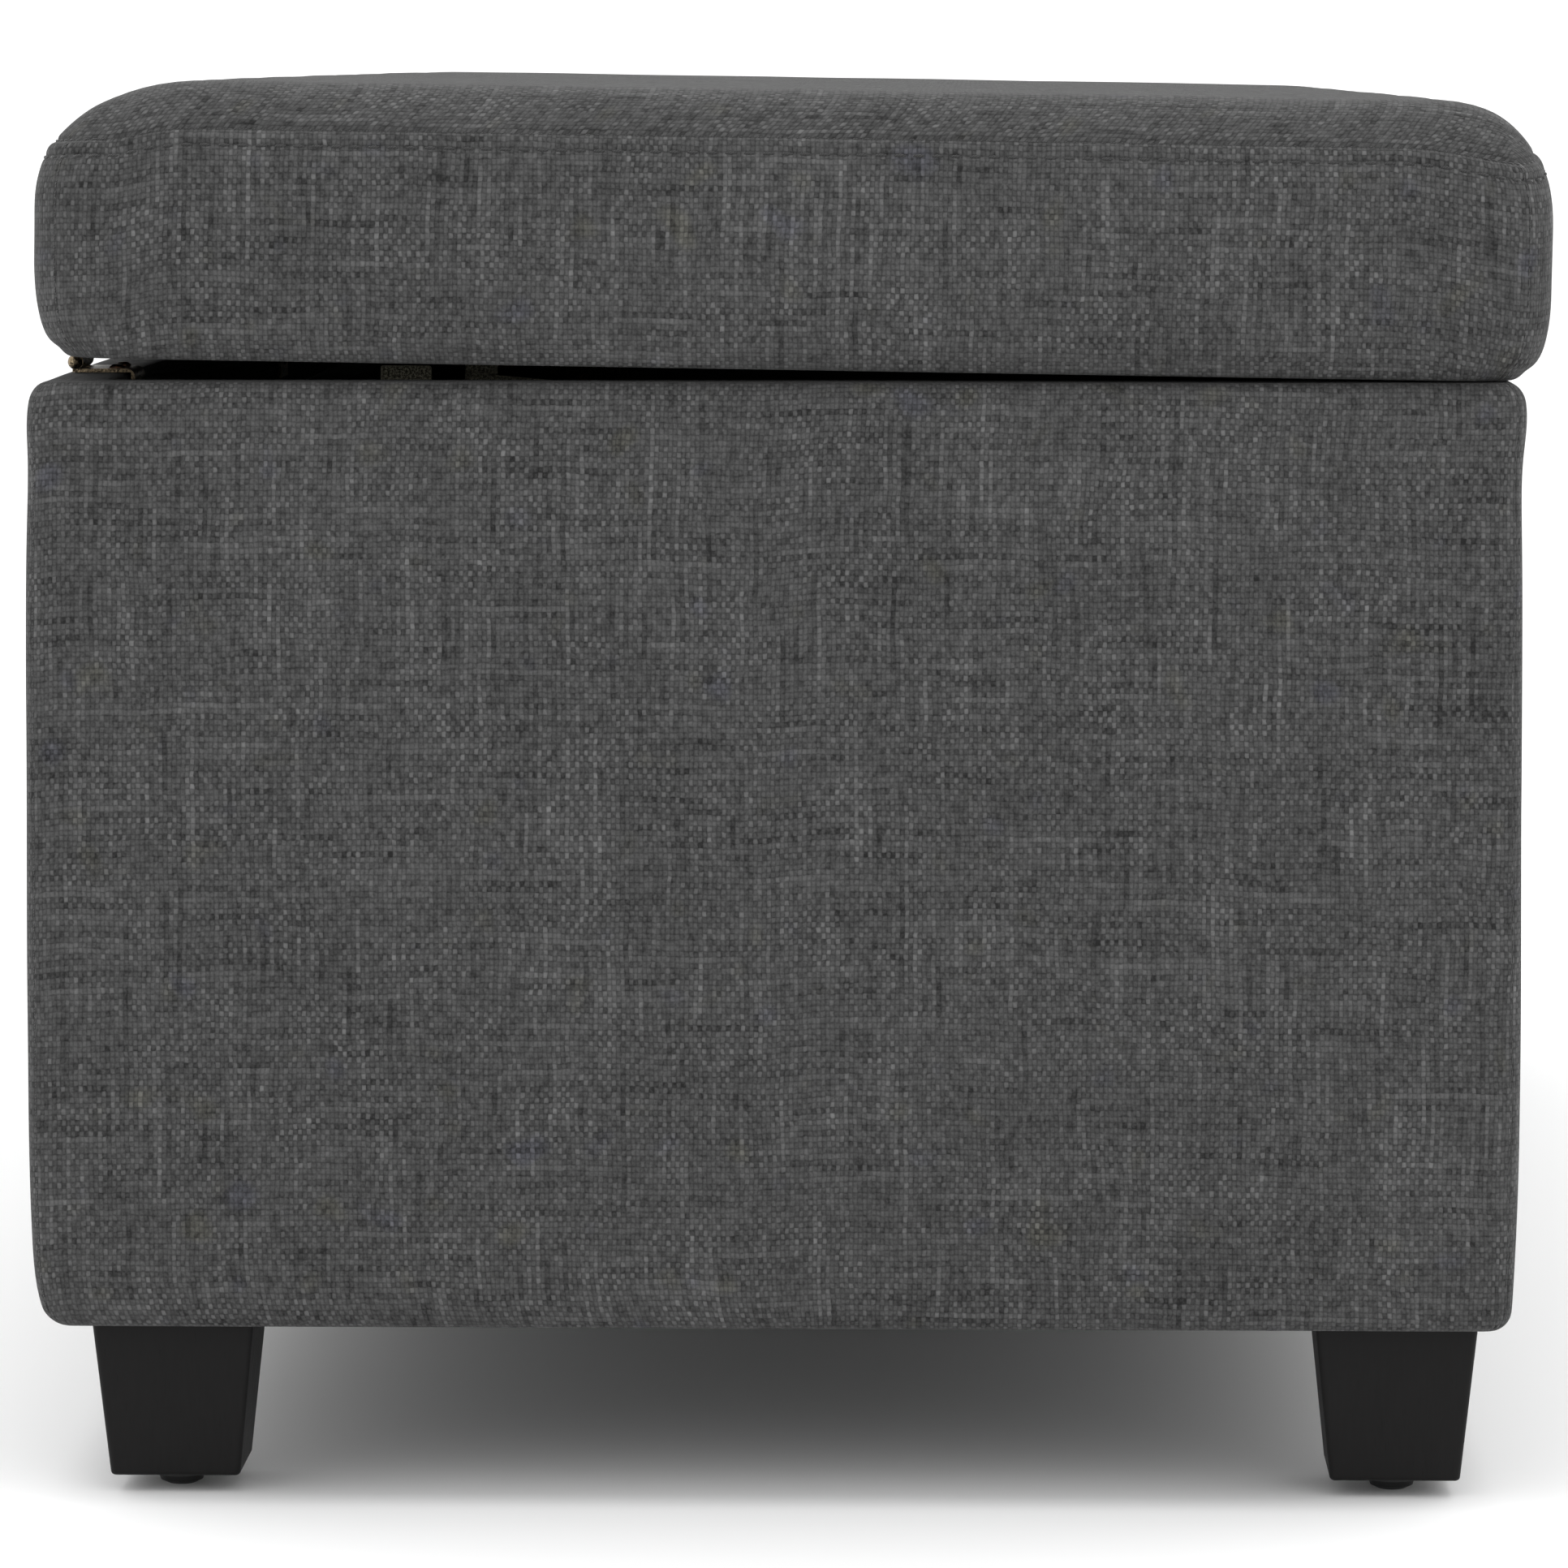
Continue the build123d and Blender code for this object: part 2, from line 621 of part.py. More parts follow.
def stay_plate_screw_places():
    """Three screws in a triangle, as (Y, Z)."""
    return [
        (DRUM[0] - PLATE_SCREW_OFFSET, PLATE_SHOULDER - PLATE_SCREW_EDGE),
        (DRUM[0] + PLATE_SCREW_OFFSET, PLATE_SHOULDER - PLATE_SCREW_EDGE),
        (DRUM[0], PLATE_LOW + PLATE_SCREW_EDGE),
    ]


def stay_spring(side):
    """The wound torsion spring round the drum stud, as a plain ring."""
    return flat(side, SPRING_LAYER, disc(DRUM, DRUM_R) - disc(DRUM, SPRING_BORE_R))


def lower_arm(side):
    """From the drum to the elbow."""
    shape = bar(DRUM, ELBOW, ARM_WIDTH) + disc(DRUM, EYE_R) + disc(ELBOW, EYE_R)
    shape -= disc(DRUM, STUD_R + STUD_PLAY)
    return flat(side, LOWER_ARM_LAYER, shape - disc(ELBOW, STUD_R))


def upper_arm(side):
    """From the elbow to the lid's pivot."""
    shape = bar(ELBOW, CLOSED_LID_PIVOT, ARM_WIDTH) + disc(ELBOW, EYE_R)
    shape += disc(CLOSED_LID_PIVOT, LID_EYE_R)
    shape -= disc(ELBOW, STUD_R + STUD_PLAY)
    return flat(side, UPPER_ARM_LAYER, shape - disc(CLOSED_LID_PIVOT, STUD_R + OPEN_PIVOT_PLAY))


def drum_stud(side):
    """The stud that the lower arm turns on, riveted into the bracket."""
    shaft = flat(side, (SPACER_LAYER[0], PLATE_LAYER[1]), disc(DRUM, STUD_R))
    return shaft + flat(side, (SPACER_LAYER[0], SPACER_LAYER[1] - 0.2), disc(DRUM, RIVET_HEAD_R))


def elbow_rivet(side):
    """The rivet fixed in the lower arm, with a spacer, that the upper arm turns on."""
    shaft = flat(side, (ELBOW_HEAD_LAYER[0], LOWER_ARM_LAYER[1]), disc(ELBOW, STUD_R))
    spacer = flat(side, (UPPER_ARM_LAYER[1] + 0.2, SPACER_LAYER[1]), disc(ELBOW, RIVET_HEAD_R))
    return shaft + spacer + flat(side, ELBOW_HEAD_LAYER, disc(ELBOW, RIVET_HEAD_R))


def lid_rivet(side):
    """The rivet fixed in the lid bracket's ear that the upper arm hangs on."""
    shaft = flat(side, (EAR_LAYER[0], LID_RIVET_HEAD_LAYER[1]), disc(LID_PIVOT, STUD_R))
    return leaned(shaft + flat(side, LID_RIVET_HEAD_LAYER, disc(LID_PIVOT, RIVET_HEAD_R)))


def lid_bracket(side):
    """An ear that hangs from a flange screwed under the lid."""
    high = LID_BOARD_UNDER - LID_CLOTH_T - 0.1
    low = high - FLANGE_T
    y = LID_PIVOT[0]
    ear = disc(LID_PIVOT, LID_EYE_R) + bar(LID_PIVOT, (y, high), 2 * LID_EYE_R)
    ear -= disc(LID_PIVOT, STUD_R)
    inner, outer = sorted((side * FLANGE_LAYER[0], side * FLANGE_LAYER[1]))
    half = FLANGE_LENGTH / 2
    flange = block(inner, outer, y - half, y + half, low, high)
    bracket = flange + flat(side, EAR_LAYER, ear)
    for at in lid_bracket_screw_places(side, low):
        bracket -= screw_hole(PLATE_SCREW, at, (0, 0, 1))
    return leaned(bracket)


def lid_bracket_screw_places(side, height):
    """Two screws through the flange, on the level lid."""
    return [
        (side * FLANGE_SCREW_X, LID_PIVOT[0] + offset, height)
        for offset in (-FLANGE_SCREW_OFFSET, FLANGE_SCREW_OFFSET)
    ]


def lid_bracket_screws(side):
    """Two screws up through the flange into the lid board."""
    low = LID_BOARD_UNDER - LID_CLOTH_T - 0.1 - FLANGE_T
    places = lid_bracket_screw_places(side, low)
    return [leaned(driven(screw(*PLATE_SCREW), at, (0, 0, 1))) for at in places]


def stay_plate_screws(side):
    """Three screws through the bracket into the end panel."""
    return [
        driven(screw(*PLATE_SCREW), (side * PLATE_LAYER[0], y, z), (side, 0, 0))
        for y, z in stay_plate_screw_places()
    ]


# Everything written out

def save_base():
    core = wall_ring(COVER_T, 0, RIM_INNER_R)
    save_walls(core)
    save("base_cover", base_cover(core))
    save("lining_walls", lining_walls())
    floor_area = (-INSIDE_HALF, INSIDE_HALF, INSIDE_FRONT, INSIDE_BACK)
    save("storage_floor_panel", block(*floor_area, FRAMING_TOP, FLOOR_TOP))
    save("lining_floor", block(*floor_area, FLOOR_TOP, FLOOR_TOP + LINING_T))
    save("wall_screws", *wall_screws())
    save("front_batten", batten(INSIDE_FRONT, INSIDE_FRONT + BATTEN_T))
    save("back_batten", batten(INSIDE_BACK - BATTEN_T, INSIDE_BACK))
    save("dust_cover", dust_cover())
    inset = DUST_COVER_INSET + STAPLE_CROWN
    staples = staple_row(
        BASE_HALF - inset, BASE_FRONT + inset, BASE_BACK - inset, FOOT_SEAT, CORNER_BLOCK + 30
    )
    save("dust_cover_staples", *staples)
    for name, x, y in foot_places():
        save(f"{name}_corner_block", corner_block(x, y))
        save(f"{name}_foot", Pos(x, y, 0) * foot())
    save("foot_bolts", *[Pos(x, y, 0) * foot_bolt() for _, x, y in foot_places()])
    save("tee_nuts", *[Pos(x, y, 0) * tee_nut() for _, x, y in foot_places()])
    save("foot_glides", *[Pos(x, y, 0) * glide() for _, x, y in foot_places()])


def save_hinges():
    centres = HINGE_CENTRES.values()
    for name, x in HINGE_CENTRES.items():
        save(f"{name}_hinge_base_leaf", body_leaf(x))
        save(f"{name}_hinge_lid_leaf", leaned(lid_leaf(x)))
    save("hinge_pins", *[hinge_pin(x) for x in centres])
    save("base_leaf_screws", *[one for x in centres for one in body_leaf_screws(x)])
    save("lid_leaf_screws", *[leaned(one) for x in centres for one in lid_leaf_screws(x)])


def save_stays():
    sides = {"left": -1, "right": 1}
    for name, side in sides.items():
        save(f"{name}_stay_plate", stay_plate(side))
        save(f"{name}_stay_spring", stay_spring(side))
        save(f"{name}_stay_lower_arm", lower_arm(side))
        save(f"{name}_stay_elbow_rivet", elbow_rivet(side))
        save(f"{name}_stay_upper_arm", upper_arm(side))
        save(f"{name}_stay_lid_bracket", lid_bracket(side))
    save("stay_drum_studs", *[drum_stud(side) for side in sides.values()])
    save("stay_lid_rivets", *[lid_rivet(side) for side in sides.values()])
    save("stay_plate_screws", *[one for side in sides.values() for one in stay_plate_screws(side)])
    save("lid_bracket_screws", *[one for side in sides.values() for one in lid_bracket_screws(side)])


os.makedirs("parts", exist_ok=True)
save_base()
save_lid_layers()
save_hinges()
save_stays()
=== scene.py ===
import json
import math
import bpy
import numpy as np
from mathutils import Matrix, Vector, kdtree, noise


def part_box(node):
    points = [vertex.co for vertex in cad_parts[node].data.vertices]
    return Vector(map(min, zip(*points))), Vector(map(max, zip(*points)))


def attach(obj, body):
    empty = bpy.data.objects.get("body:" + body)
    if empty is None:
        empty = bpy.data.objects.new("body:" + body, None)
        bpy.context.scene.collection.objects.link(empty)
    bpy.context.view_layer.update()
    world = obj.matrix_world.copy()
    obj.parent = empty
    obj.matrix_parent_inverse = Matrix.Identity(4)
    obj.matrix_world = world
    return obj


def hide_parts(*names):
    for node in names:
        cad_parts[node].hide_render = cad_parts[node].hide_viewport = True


# Storage ottoman: the looks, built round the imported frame. Metres throughout.
# +X runs along the length, -Y is the front, +Y the hinge side, +Z up.

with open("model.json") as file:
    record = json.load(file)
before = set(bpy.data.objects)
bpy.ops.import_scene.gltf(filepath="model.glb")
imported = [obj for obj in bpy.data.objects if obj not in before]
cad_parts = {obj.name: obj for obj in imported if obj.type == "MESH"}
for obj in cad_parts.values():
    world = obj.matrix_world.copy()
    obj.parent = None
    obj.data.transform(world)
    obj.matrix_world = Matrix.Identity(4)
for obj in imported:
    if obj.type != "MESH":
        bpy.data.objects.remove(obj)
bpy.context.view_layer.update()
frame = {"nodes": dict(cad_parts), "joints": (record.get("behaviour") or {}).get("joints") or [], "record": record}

MM = 0.001
HINGE = Vector(next(j["pos_m"] for j in frame["joints"] if j["name"] == "lid_hinge"))

# Base
BASE_LOW, BASE_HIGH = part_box("base_cover")
BASE_HALF_X = BASE_HIGH.x
BASE_HALF_Y = (BASE_HIGH.y - BASE_LOW.y) / 2
BASE_MID_Y = (BASE_HIGH.y + BASE_LOW.y) / 2
BASE_BOTTOM = BASE_LOW.z
RIM = BASE_HIGH.z
BASE_CORNER_R = 10 * MM
WALL = 26 * MM
TURN_IN = 30 * MM
RIM_FORWARD = 1.1 * MM
RIM_FORWARD_REACH = 24 * MM

# Lid, level, before it leans on the front rim. The padding lifts the cover a little over the CAD's.
LID_LENGTH = 1219 * MM
LID_DEPTH = 480 * MM
LID_THICKNESS = 87.1 * MM
LID_UNDER = HINGE.z + 3.8 * MM
LID_BACK = BASE_HIGH.y - 2.2 * MM
LID_CORNER_R = 28 * MM
LID_MID_Y = LID_BACK - LID_DEPTH / 2
LID_HIGH = LID_THICKNESS + 0.2 * MM
LID_TOP = LID_UNDER + LID_HIGH
LID_BOARD_UNDER = LID_UNDER + 1.3 * MM
TURN_UNDER = 32 * MM
LID_LEAN = math.atan((LID_UNDER - RIM - 0.3 * MM) / (HINGE.y - BASE_LOW.y - 6 * MM))

# The lid cover's rounded top edge, as (width, height, power): ends, front and back
END_EDGE = (31 * MM, 38 * MM, 2.2)
FRONT_EDGE = (33 * MM, 38.5 * MM, 2.15)
BACK_EDGE = (50 * MM, 39 * MM, 2.0)
LOWER_WIDTH = 11.2 * MM
LOWER_HEIGHTS = {"back": 31 * MM, "front": 26 * MM}
LOWER_POWER = 1.85
SEAM_INSET = 5.8 * MM
BACK_SEAM_INSET = 6.6 * MM
LID_SWELL = {"back": 1.4 * MM, "front": 1.3 * MM, "ends": 0.7 * MM}
# Fuller under the seam: by how much, how far below the lid's top, and over what reach
SEAM_FULLNESS, FULL_DEPTH, FULL_REACH = 0.65 * MM, 22 * MM, 7 * MM
# How far the cloth goes in, or out for the strip between, at the seams and the stitches
SEAM_PULL, SEAM_PULL_CORNER, UNDER_SEAM_PULL = 1.3 * MM, 0.8 * MM, 0.15 * MM
STRIP_RISE = 0.45 * MM
STITCH_PULL = 0.8 * MM
CORNER_PULL = 0.35 * MM
CROWN = 0.8 * MM
CORNER_SAG, SAG_REACH = 13 * MM, 50 * MM
STITCH_PITCH = 5.9 * MM
STITCH_LENGTH = 4.1 * MM

# Rows of the lid's side band: millimetres below the seam, then shares of what is left
SEAM_ROWS = (0.7, 1.7, 3.2, 4.5, 5.2, 5.9, 7.4, 9.8)
BAND_ROWS = (
    0.05, 0.11, 0.18, 0.26, 0.34, 0.42, 0.50, 0.58, 0.66, 0.73, 0.79, 0.84, 0.885,
    0.92, 0.947, 0.967, 0.983, 0.994, 1.0,
)
# Rows below the seam: the stitches, the corner seams' end, and the cloth coordinates' length
STITCH_ROW = 5
CORNER_SEAM_END = 24
MEASURED_ROW = 12

# The cover's margin under the lid: (inset, height above the lid's underside), in millimetres
MARGIN_ROWS = (
    (15, 0.0), (19, -0.25), (24, -0.3), (29, -0.25), (31.6, 0.0), (32, 0.7), (32, 3.5),
)

# The base cover's section, in millimetres: (inset, height) under the base, heights of the outer
# face, insets over the rim, and depths of the turned-in cloth below it
UNDER_ROWS = ((15, 0.1), (11, 0.0), (8, 0.0))
WALL_HEIGHTS = (
    12, 20, 30, 42, 55, 68, 82, 96, 110, 124, 138, 152, 166, 180, 194, 208, 221, 233, 244, 254,
    262, 268, 273, 278, 282.5, 286.5, 290, 293,
)
RIM_INSETS = (10, 14, 18, 21.5, 23.4)
TURNED_IN_DEPTHS = (9, 15, 21, 26, 28.8)
BOTTOM_ROLL = 6.5 * MM
RIM_ROLL_IN = 6 * MM
RIM_ROLL_DOWN = 8 * MM
INNER_ROLL = 3.5 * MM
ROLL_STEPS = 6
INNER_STEPS = 3
BASE_ANGLES = (0, 14, 28, 38, 43, 45, 47, 52, 62, 76, 90)

# The camera, at the photograph's viewing angle
CAMERA_AT = (-2.9795, -0.058, 0.4632)
CAMERA_LENS = 173.1
CAMERA_SENSOR = 36
CAMERA_YAW = math.radians(1.4157)
CAMERA_PITCH = math.radians(5.53)

# The weave
WARP_PITCH = 1.45 * MM
WEFT_PITCH = 1.82 * MM
CLOTH_LEVEL = 0.83
TWILL_PITCH = 1.1 * MM
THREAD_TWIST = 0.9 * MM

# The wall lining: its rows, as shares of its height, its corners' steps and its hem
LINING_HEIGHTS = (0, 0.02, 0.06, 0.12, 0.19, 0.27, 0.35, 0.43, 0.51, 0.59, 0.67, 0.74, 0.80)
LINING_ANGLES = (0, 22, 45, 68, 90)
HEM = 9 * MM

# Studio lights: (name, place, size, watts)
LIGHTS = (
    ("overhead", (-0.1, 0.0, 2.6), 3.0, 36.0),
    ("front_fill", (-3.2, -0.6, 1.6), 2.2, 10.0),
)
LIGHTS_AIM = Vector((0, 0, 0.25))
SURROUND_LEVEL = 1.2
FLOOR_GREY = (0.96, 0.96, 0.96)


# Meshes

def new_object(name, verts, faces):
    """A smooth-shaded mesh object from points and faces."""
    mesh = bpy.data.meshes.new(name)
    mesh.from_pydata([tuple(v) for v in verts], [], faces)
    mesh.validate()
    mesh.shade_smooth()
    obj = bpy.data.objects.new(name, mesh)
    bpy.context.scene.collection.objects.link(obj)
    return obj


def set_uv(obj, corner_uv):
    """Writes the cloth coordinates, in metres, one pair for each face corner."""
    layer = obj.data.uv_layers.new(name="cloth")
    layer.data.foreach_set("uv", np.asarray(corner_uv, np.float32).ravel())


def lean(obj):
    """Turns a piece of the level lid about the hinge line until it rests on the front rim."""
    there = Matrix.Translation(HINGE)
    obj.data.transform(there @ Matrix.Rotation(LID_LEAN, 4, "X") @ there.inverted())


def superellipse(t, power):
    """How far a rounded edge has turned away, from 0 where it leaves the flat to 1."""
    return 1 - (1 - np.clip(t, 0, 1) ** power) ** (1 / power)


def wobble(points, size, seed):
    """Smooth noise of about -1 to 1 at each point."""
    shift = Vector((seed * 17.3, seed * 5.1, seed * 9.7))
    return np.array([noise.noise(Vector(p) / size + shift) for p in points])


def diagonal(out):
    """Which of the outward directions point into the middle of a rounded corner."""
    return np.abs(np.abs(out[:, 0]) - np.abs(out[:, 1])) < 0.02


def running(points, axis=0):
    """Distance run along an axis of an array of points, from 0 at its start."""
    steps = np.linalg.norm(np.diff(points, axis=axis), axis=-1)
    return np.insert(np.cumsum(steps, axis), 0, 0, axis)


def closed(row):
    """A row with its start repeated at its end."""
    return row + row[:1]


def rod_faces(base, turns, sides):
    """Faces of a rod whose turns of points start at an index: its side and both ends."""
    faces = []
    for k in range(turns - 1):
        low, high = base + k * sides, base + (k + 1) * sides
        for q in range(sides):
            r = (q + 1) % sides
            faces.append((low + q, low + r, high + r, high + q))
    last = base + (turns - 1) * sides
    faces.append(tuple(base + q for q in reversed(range(sides))))
    faces.append(tuple(last + q for q in range(sides)))
    return faces


# Outlines

def edge_rows(start, stop, close):
    """Distances from an edge that open out from a close first row."""
    rows = [start]
    step = close
    while rows[-1] + step < stop - 0.6 * step:
        rows.append(rows[-1] + step)
        step *= 1.32
    return rows + [stop]


def even(start, stop, step):
    """Evenly spaced values after start and before stop."""
    count = max(1, round((stop - start) / step))
    return [start + (stop - start) * i / count for i in range(1, count)]


class Outline:
    """A rounded rectangle whose points share one order at every inset, corners included."""

    def __init__(self, half_x, half_y, radius, angles, step):
        self.half = (half_x, half_y)
        self.radius = radius
        cx, cy = half_x - radius, half_y - radius
        xs = even(-cx, cx, step)
        ys = even(-cy, cy, step)
        corners = ((1, 1), (-1, 1), (-1, -1), (1, -1))
        sides = (
            [(x / cx, 1) for x in reversed(xs)], [(-1, y / cy) for y in reversed(ys)],
            [(x / cx, -1) for x in xs], [(1, y / cy) for y in ys],
        )
        points = []
        for quarter, (corner, side) in enumerate(zip(corners, sides)):
            turn = quarter * math.pi / 2
            points += [(*corner, turn + a) for a in angles]
            points += [(*place, turn + math.pi / 2) for place in side]
        self.place = np.array(points)
        self.out = np.stack([np.cos(self.place[:, 2]), np.sin(self.place[:, 2])], 1)

    def ring(self, inset, least=1.5 * MM):
        """The outline moved in by an inset, as (x, y) rows. Its corners keep a least radius."""
        r = max(self.radius - inset, least)
        cx = self.half[0] - inset - r
        cy = self.half[1] - inset - r
        x = self.place[:, 0] * cx + self.out[:, 0] * r
        y = self.place[:, 1] * cy + self.out[:, 1] * r
        return np.stack([x, y], 1)


def quads(turns, count):
    """(turn, place, next place) of every quad between rings of a count of points."""
    return ((k, i, (i + 1) % count) for k in range(turns) for i in range(count))


def loft(rings):
    """Quads between rings of equal length. The last ring joins the first."""
    count = len(rings[0])
    faces = []
    for k, i, j in quads(len(rings), count):
        low, high = k * count, (k + 1) % len(rings) * count
        faces.append((low + i, low + j, high + j, high + i))
    return faces


def ring_uv(rings):
    """Cloth coordinates of a loft: length along the widest ring, and length down the profile."""
    widest = max(rings, key=lambda r: np.abs(r[:, 0]).max())
    along = running(closed(list(widest)))
    down = running(closed(rings))
    uv = []
    for k, i, j in quads(len(rings), len(widest)):
        uv += [
            (along[i], -down[k][i]), (along[i + 1], -down[k][j]),
            (along[i + 1], -down[k + 1][j]), (along[i], -down[k + 1][i]),
        ]
    return uv


# Materials

class Nodes:
    """Short names for building one material's node tree. Lengths are in metres."""

    def __init__(self, name):
        self.material = bpy.data.materials.new(name)
        self.material.use_nodes = True
        self.tree = self.material.node_tree
        self.shader = self.tree.nodes["Principled BSDF"]

    def link(self, source, target):
        self.tree.links.new(source, target)

    def put(self, socket, value):
        """Links an output, or sets a number or an RGB colour."""
        if isinstance(value, bpy.types.NodeSocket):
            self.link(value, socket)
        else:
            socket.default_value = (*value, 1.0) if isinstance(value, tuple) else value

    def math(self, operation, *values):
        node = self.tree.nodes.new("ShaderNodeMath")
        node.operation = operation
        for socket, value in zip(node.inputs, values):
            self.put(socket, value)
        return node.outputs[0]

    def add(self, a, b):
        return self.math("ADD", a, b)

    def times(self, a, b):
        return self.math("MULTIPLY", a, b)

    def mix(self, factor, a, b, blend="MIX"):
        node = self.tree.nodes.new("ShaderNodeMix")
        node.data_type = "RGBA"
        node.blend_type = blend
        for name, value in (("Factor", factor), ("A", a), ("B", b)):
            self.put(node.inputs[name], value)
        return node.outputs["Result"]

    def span(self, value, low, high, to_low=0.0, to_high=1.0):
        node = self.tree.nodes.new("ShaderNodeMapRange")
        self.put(node.inputs["Value"], value)
        names = ("From Min", "From Max", "To Min", "To Max")
        for name, number in zip(names, (low, high, to_low, to_high)):
            node.inputs[name].default_value = number
        return node.outputs["Result"]

    def join(self, x, y, z=0.0):
        node = self.tree.nodes.new("ShaderNodeCombineXYZ")
        for socket, value in zip(node.inputs, (x, y, z)):
            self.put(socket, value)
        return node.outputs[0]

    def split(self, vector):
        node = self.tree.nodes.new("ShaderNodeSeparateXYZ")
        self.link(vector, node.inputs[0])
        return node.outputs

    def noise(self, vector, scale, detail=2.0, rough=0.5, dims="3D"):
        node = self.tree.nodes.new("ShaderNodeTexNoise")
        node.noise_dimensions = dims
        self.link(vector, node.inputs["Vector"])
        node.inputs["Scale"].default_value = scale
        node.inputs["Detail"].default_value = detail
        node.inputs["Roughness"].default_value = rough
        return node.outputs["Fac"]

    def voronoi(self, vector, scale):
        node = self.tree.nodes.new("ShaderNodeTexVoronoi")
        self.link(vector, node.inputs["Vector"])
        node.inputs["Scale"].default_value = scale
        return node.outputs["Distance"]

    def object_place(self):
        return self.tree.nodes.new("ShaderNodeTexCoord").outputs["Object"]

    def stretched(self, *scales):
        """The place on the object, scaled along each axis."""
        axes = self.split(self.object_place())
        return self.join(*(self.times(a, scale) for a, scale in zip(axes, scales)))

    def cloth_place(self):
        node = self.tree.nodes.new("ShaderNodeUVMap")
        node.uv_map = "cloth"
        return node.outputs[0]

    def bump(self, height, distance, strength):
        node = self.tree.nodes.new("ShaderNodeBump")
        node.inputs["Distance"].default_value = distance
        node.inputs["Strength"].default_value = strength
        self.link(height, node.inputs["Height"])
        self.link(node.outputs[0], self.shader.inputs["Normal"])

    def finish(self, color, roughness, **constants):
        self.put(self.shader.inputs["Base Color"], color)
        self.put(self.shader.inputs["Roughness"], roughness)
        for name, value in constants.items():
            self.shader.inputs[name.replace("_", " ")].default_value = value
        return self.material


def linen():
    """Slate-grey plain weave: light slubby warp, darker weft, faint olive and blue flecks."""
    n = Nodes("linen_look_fabric")
    place = n.cloth_place()
    u, v, _ = n.split(place)

    def drift(slow, fast, jitter):
        """How far the yarns wander from straight."""
        bend = n.span(n.noise(place, slow, 2), 0.3, 0.7, -0.45 * MM, 0.45 * MM)
        return n.add(bend, n.span(n.noise(place, fast, 1), 0.3, 0.7, -jitter, jitter))

    u = n.times(n.add(u, drift(40, 420, 0.12 * MM)), 1 / WARP_PITCH)
    v = n.times(n.add(v, drift(37, 380, 0.16 * MM)), 1 / WEFT_PITCH)
    end, pick = n.math("FLOOR", u), n.math("FLOOR", v)
    over = n.times(n.math("SINE", n.times(u, math.pi)), n.math("SINE", n.times(v, math.pi)))
    round_yarn = n.math("SQRT", n.math("ABSOLUTE", over))
    on_top = n.span(over, -0.12, 0.2)
    each = n.tree.nodes.new("ShaderNodeTexWhiteNoise")
    each.noise_dimensions = "2D"
    n.link(n.join(end, pick), each.inputs["Vector"])
    each = each.outputs["Value"]
    patch = n.span(n.noise(place, 42, 3, 0.6), 0.36, 0.66, 0.15, 1.2)
    end_place = n.join(n.times(end, 7.31), n.times(v, 0.036))
    pick_place = n.join(n.times(u, 0.03), n.times(pick, 5.73))
    end_tone = n.noise(end_place, 1.0, 2, 0.6, "2D")
    pick_tone = n.noise(pick_place, 1.0, 2, 0.6, "2D")
    fleck_place = n.join(n.times(u, 0.5), n.times(v, 0.45))
    fleck = n.noise(fleck_place, 1.0, 2, 0.65, "2D")
    slub = n.span(end_tone, 0.61, 0.76, 0.0, 0.030)
    slub = n.add(slub, n.span(pick_tone, 0.64, 0.76, 0.0, 0.016))
    gap = n.span(end_tone, 0.38, 0.26, 0.0, 0.014)
    gap = n.add(gap, n.span(pick_tone, 0.37, 0.26, 0.0, 0.011))
    warp = n.add(0.061, n.span(end_tone, 0.3, 0.7, -0.014, 0.014))
    dots = n.times(n.math("POWER", each, 1.6), n.times(patch, 0.051))
    warp = n.add(warp, dots)
    weft = n.add(0.0545, n.span(pick_tone, 0.3, 0.7, -0.012, 0.012))
    weft = n.add(weft, n.span(each, 0.0, 1.0, -0.006, 0.006))
    mixed = n.add(weft, n.times(on_top, n.math("SUBTRACT", warp, weft)))
    yarns = n.math("SUBTRACT", n.add(mixed, slub), gap)
    # Painted shade and highlight: each yarn is darker towards its edges and in the pits between yarns, and lighter
    # on its crown.
    tone = n.times(yarns, n.span(round_yarn, 0.0, 0.85, 0.60, 1.08))
    tone = n.add(tone, n.span(fleck, 0.3, 0.7, -0.016, 0.016))
    tone = n.add(tone, n.span(n.noise(place, 1150, 2, 0.6), 0.3, 0.7, -0.013, 0.013))
    tone = n.add(tone, n.span(n.noise(place, 11, 2), 0.3, 0.7, -0.003, 0.003))
    tone = n.math("MAXIMUM", n.times(tone, CLOTH_LEVEL), 0.012)
    grey = n.join(tone, tone, tone)
    olive = n.span(n.noise(place, 53, 1), 0.66, 0.78, 0.0, 0.45)
    blue = n.span(n.noise(place, 47, 1), 0.22, 0.32, 0.4, 0.0)
    tinted = n.mix(olive, grey, (1.1, 1.07, 0.82), "MULTIPLY")
    tinted = n.mix(blue, tinted, (0.92, 0.94, 1.25), "MULTIPLY")
    fibre = n.noise(place, 3200, 2, 0.6)
    height = n.add(round_yarn, n.times(fibre, 0.5))
    height = n.add(height, n.times(on_top, 0.35))
    n.bump(height, 0.3 * MM, 0.6)
    return n.finish(
        tinted, n.span(fibre, 0.3, 0.7, 0.84, 0.97),
        Sheen_Weight=0.05, Sheen_Roughness=0.4, Specular_IOR_Level=0.2,
    )


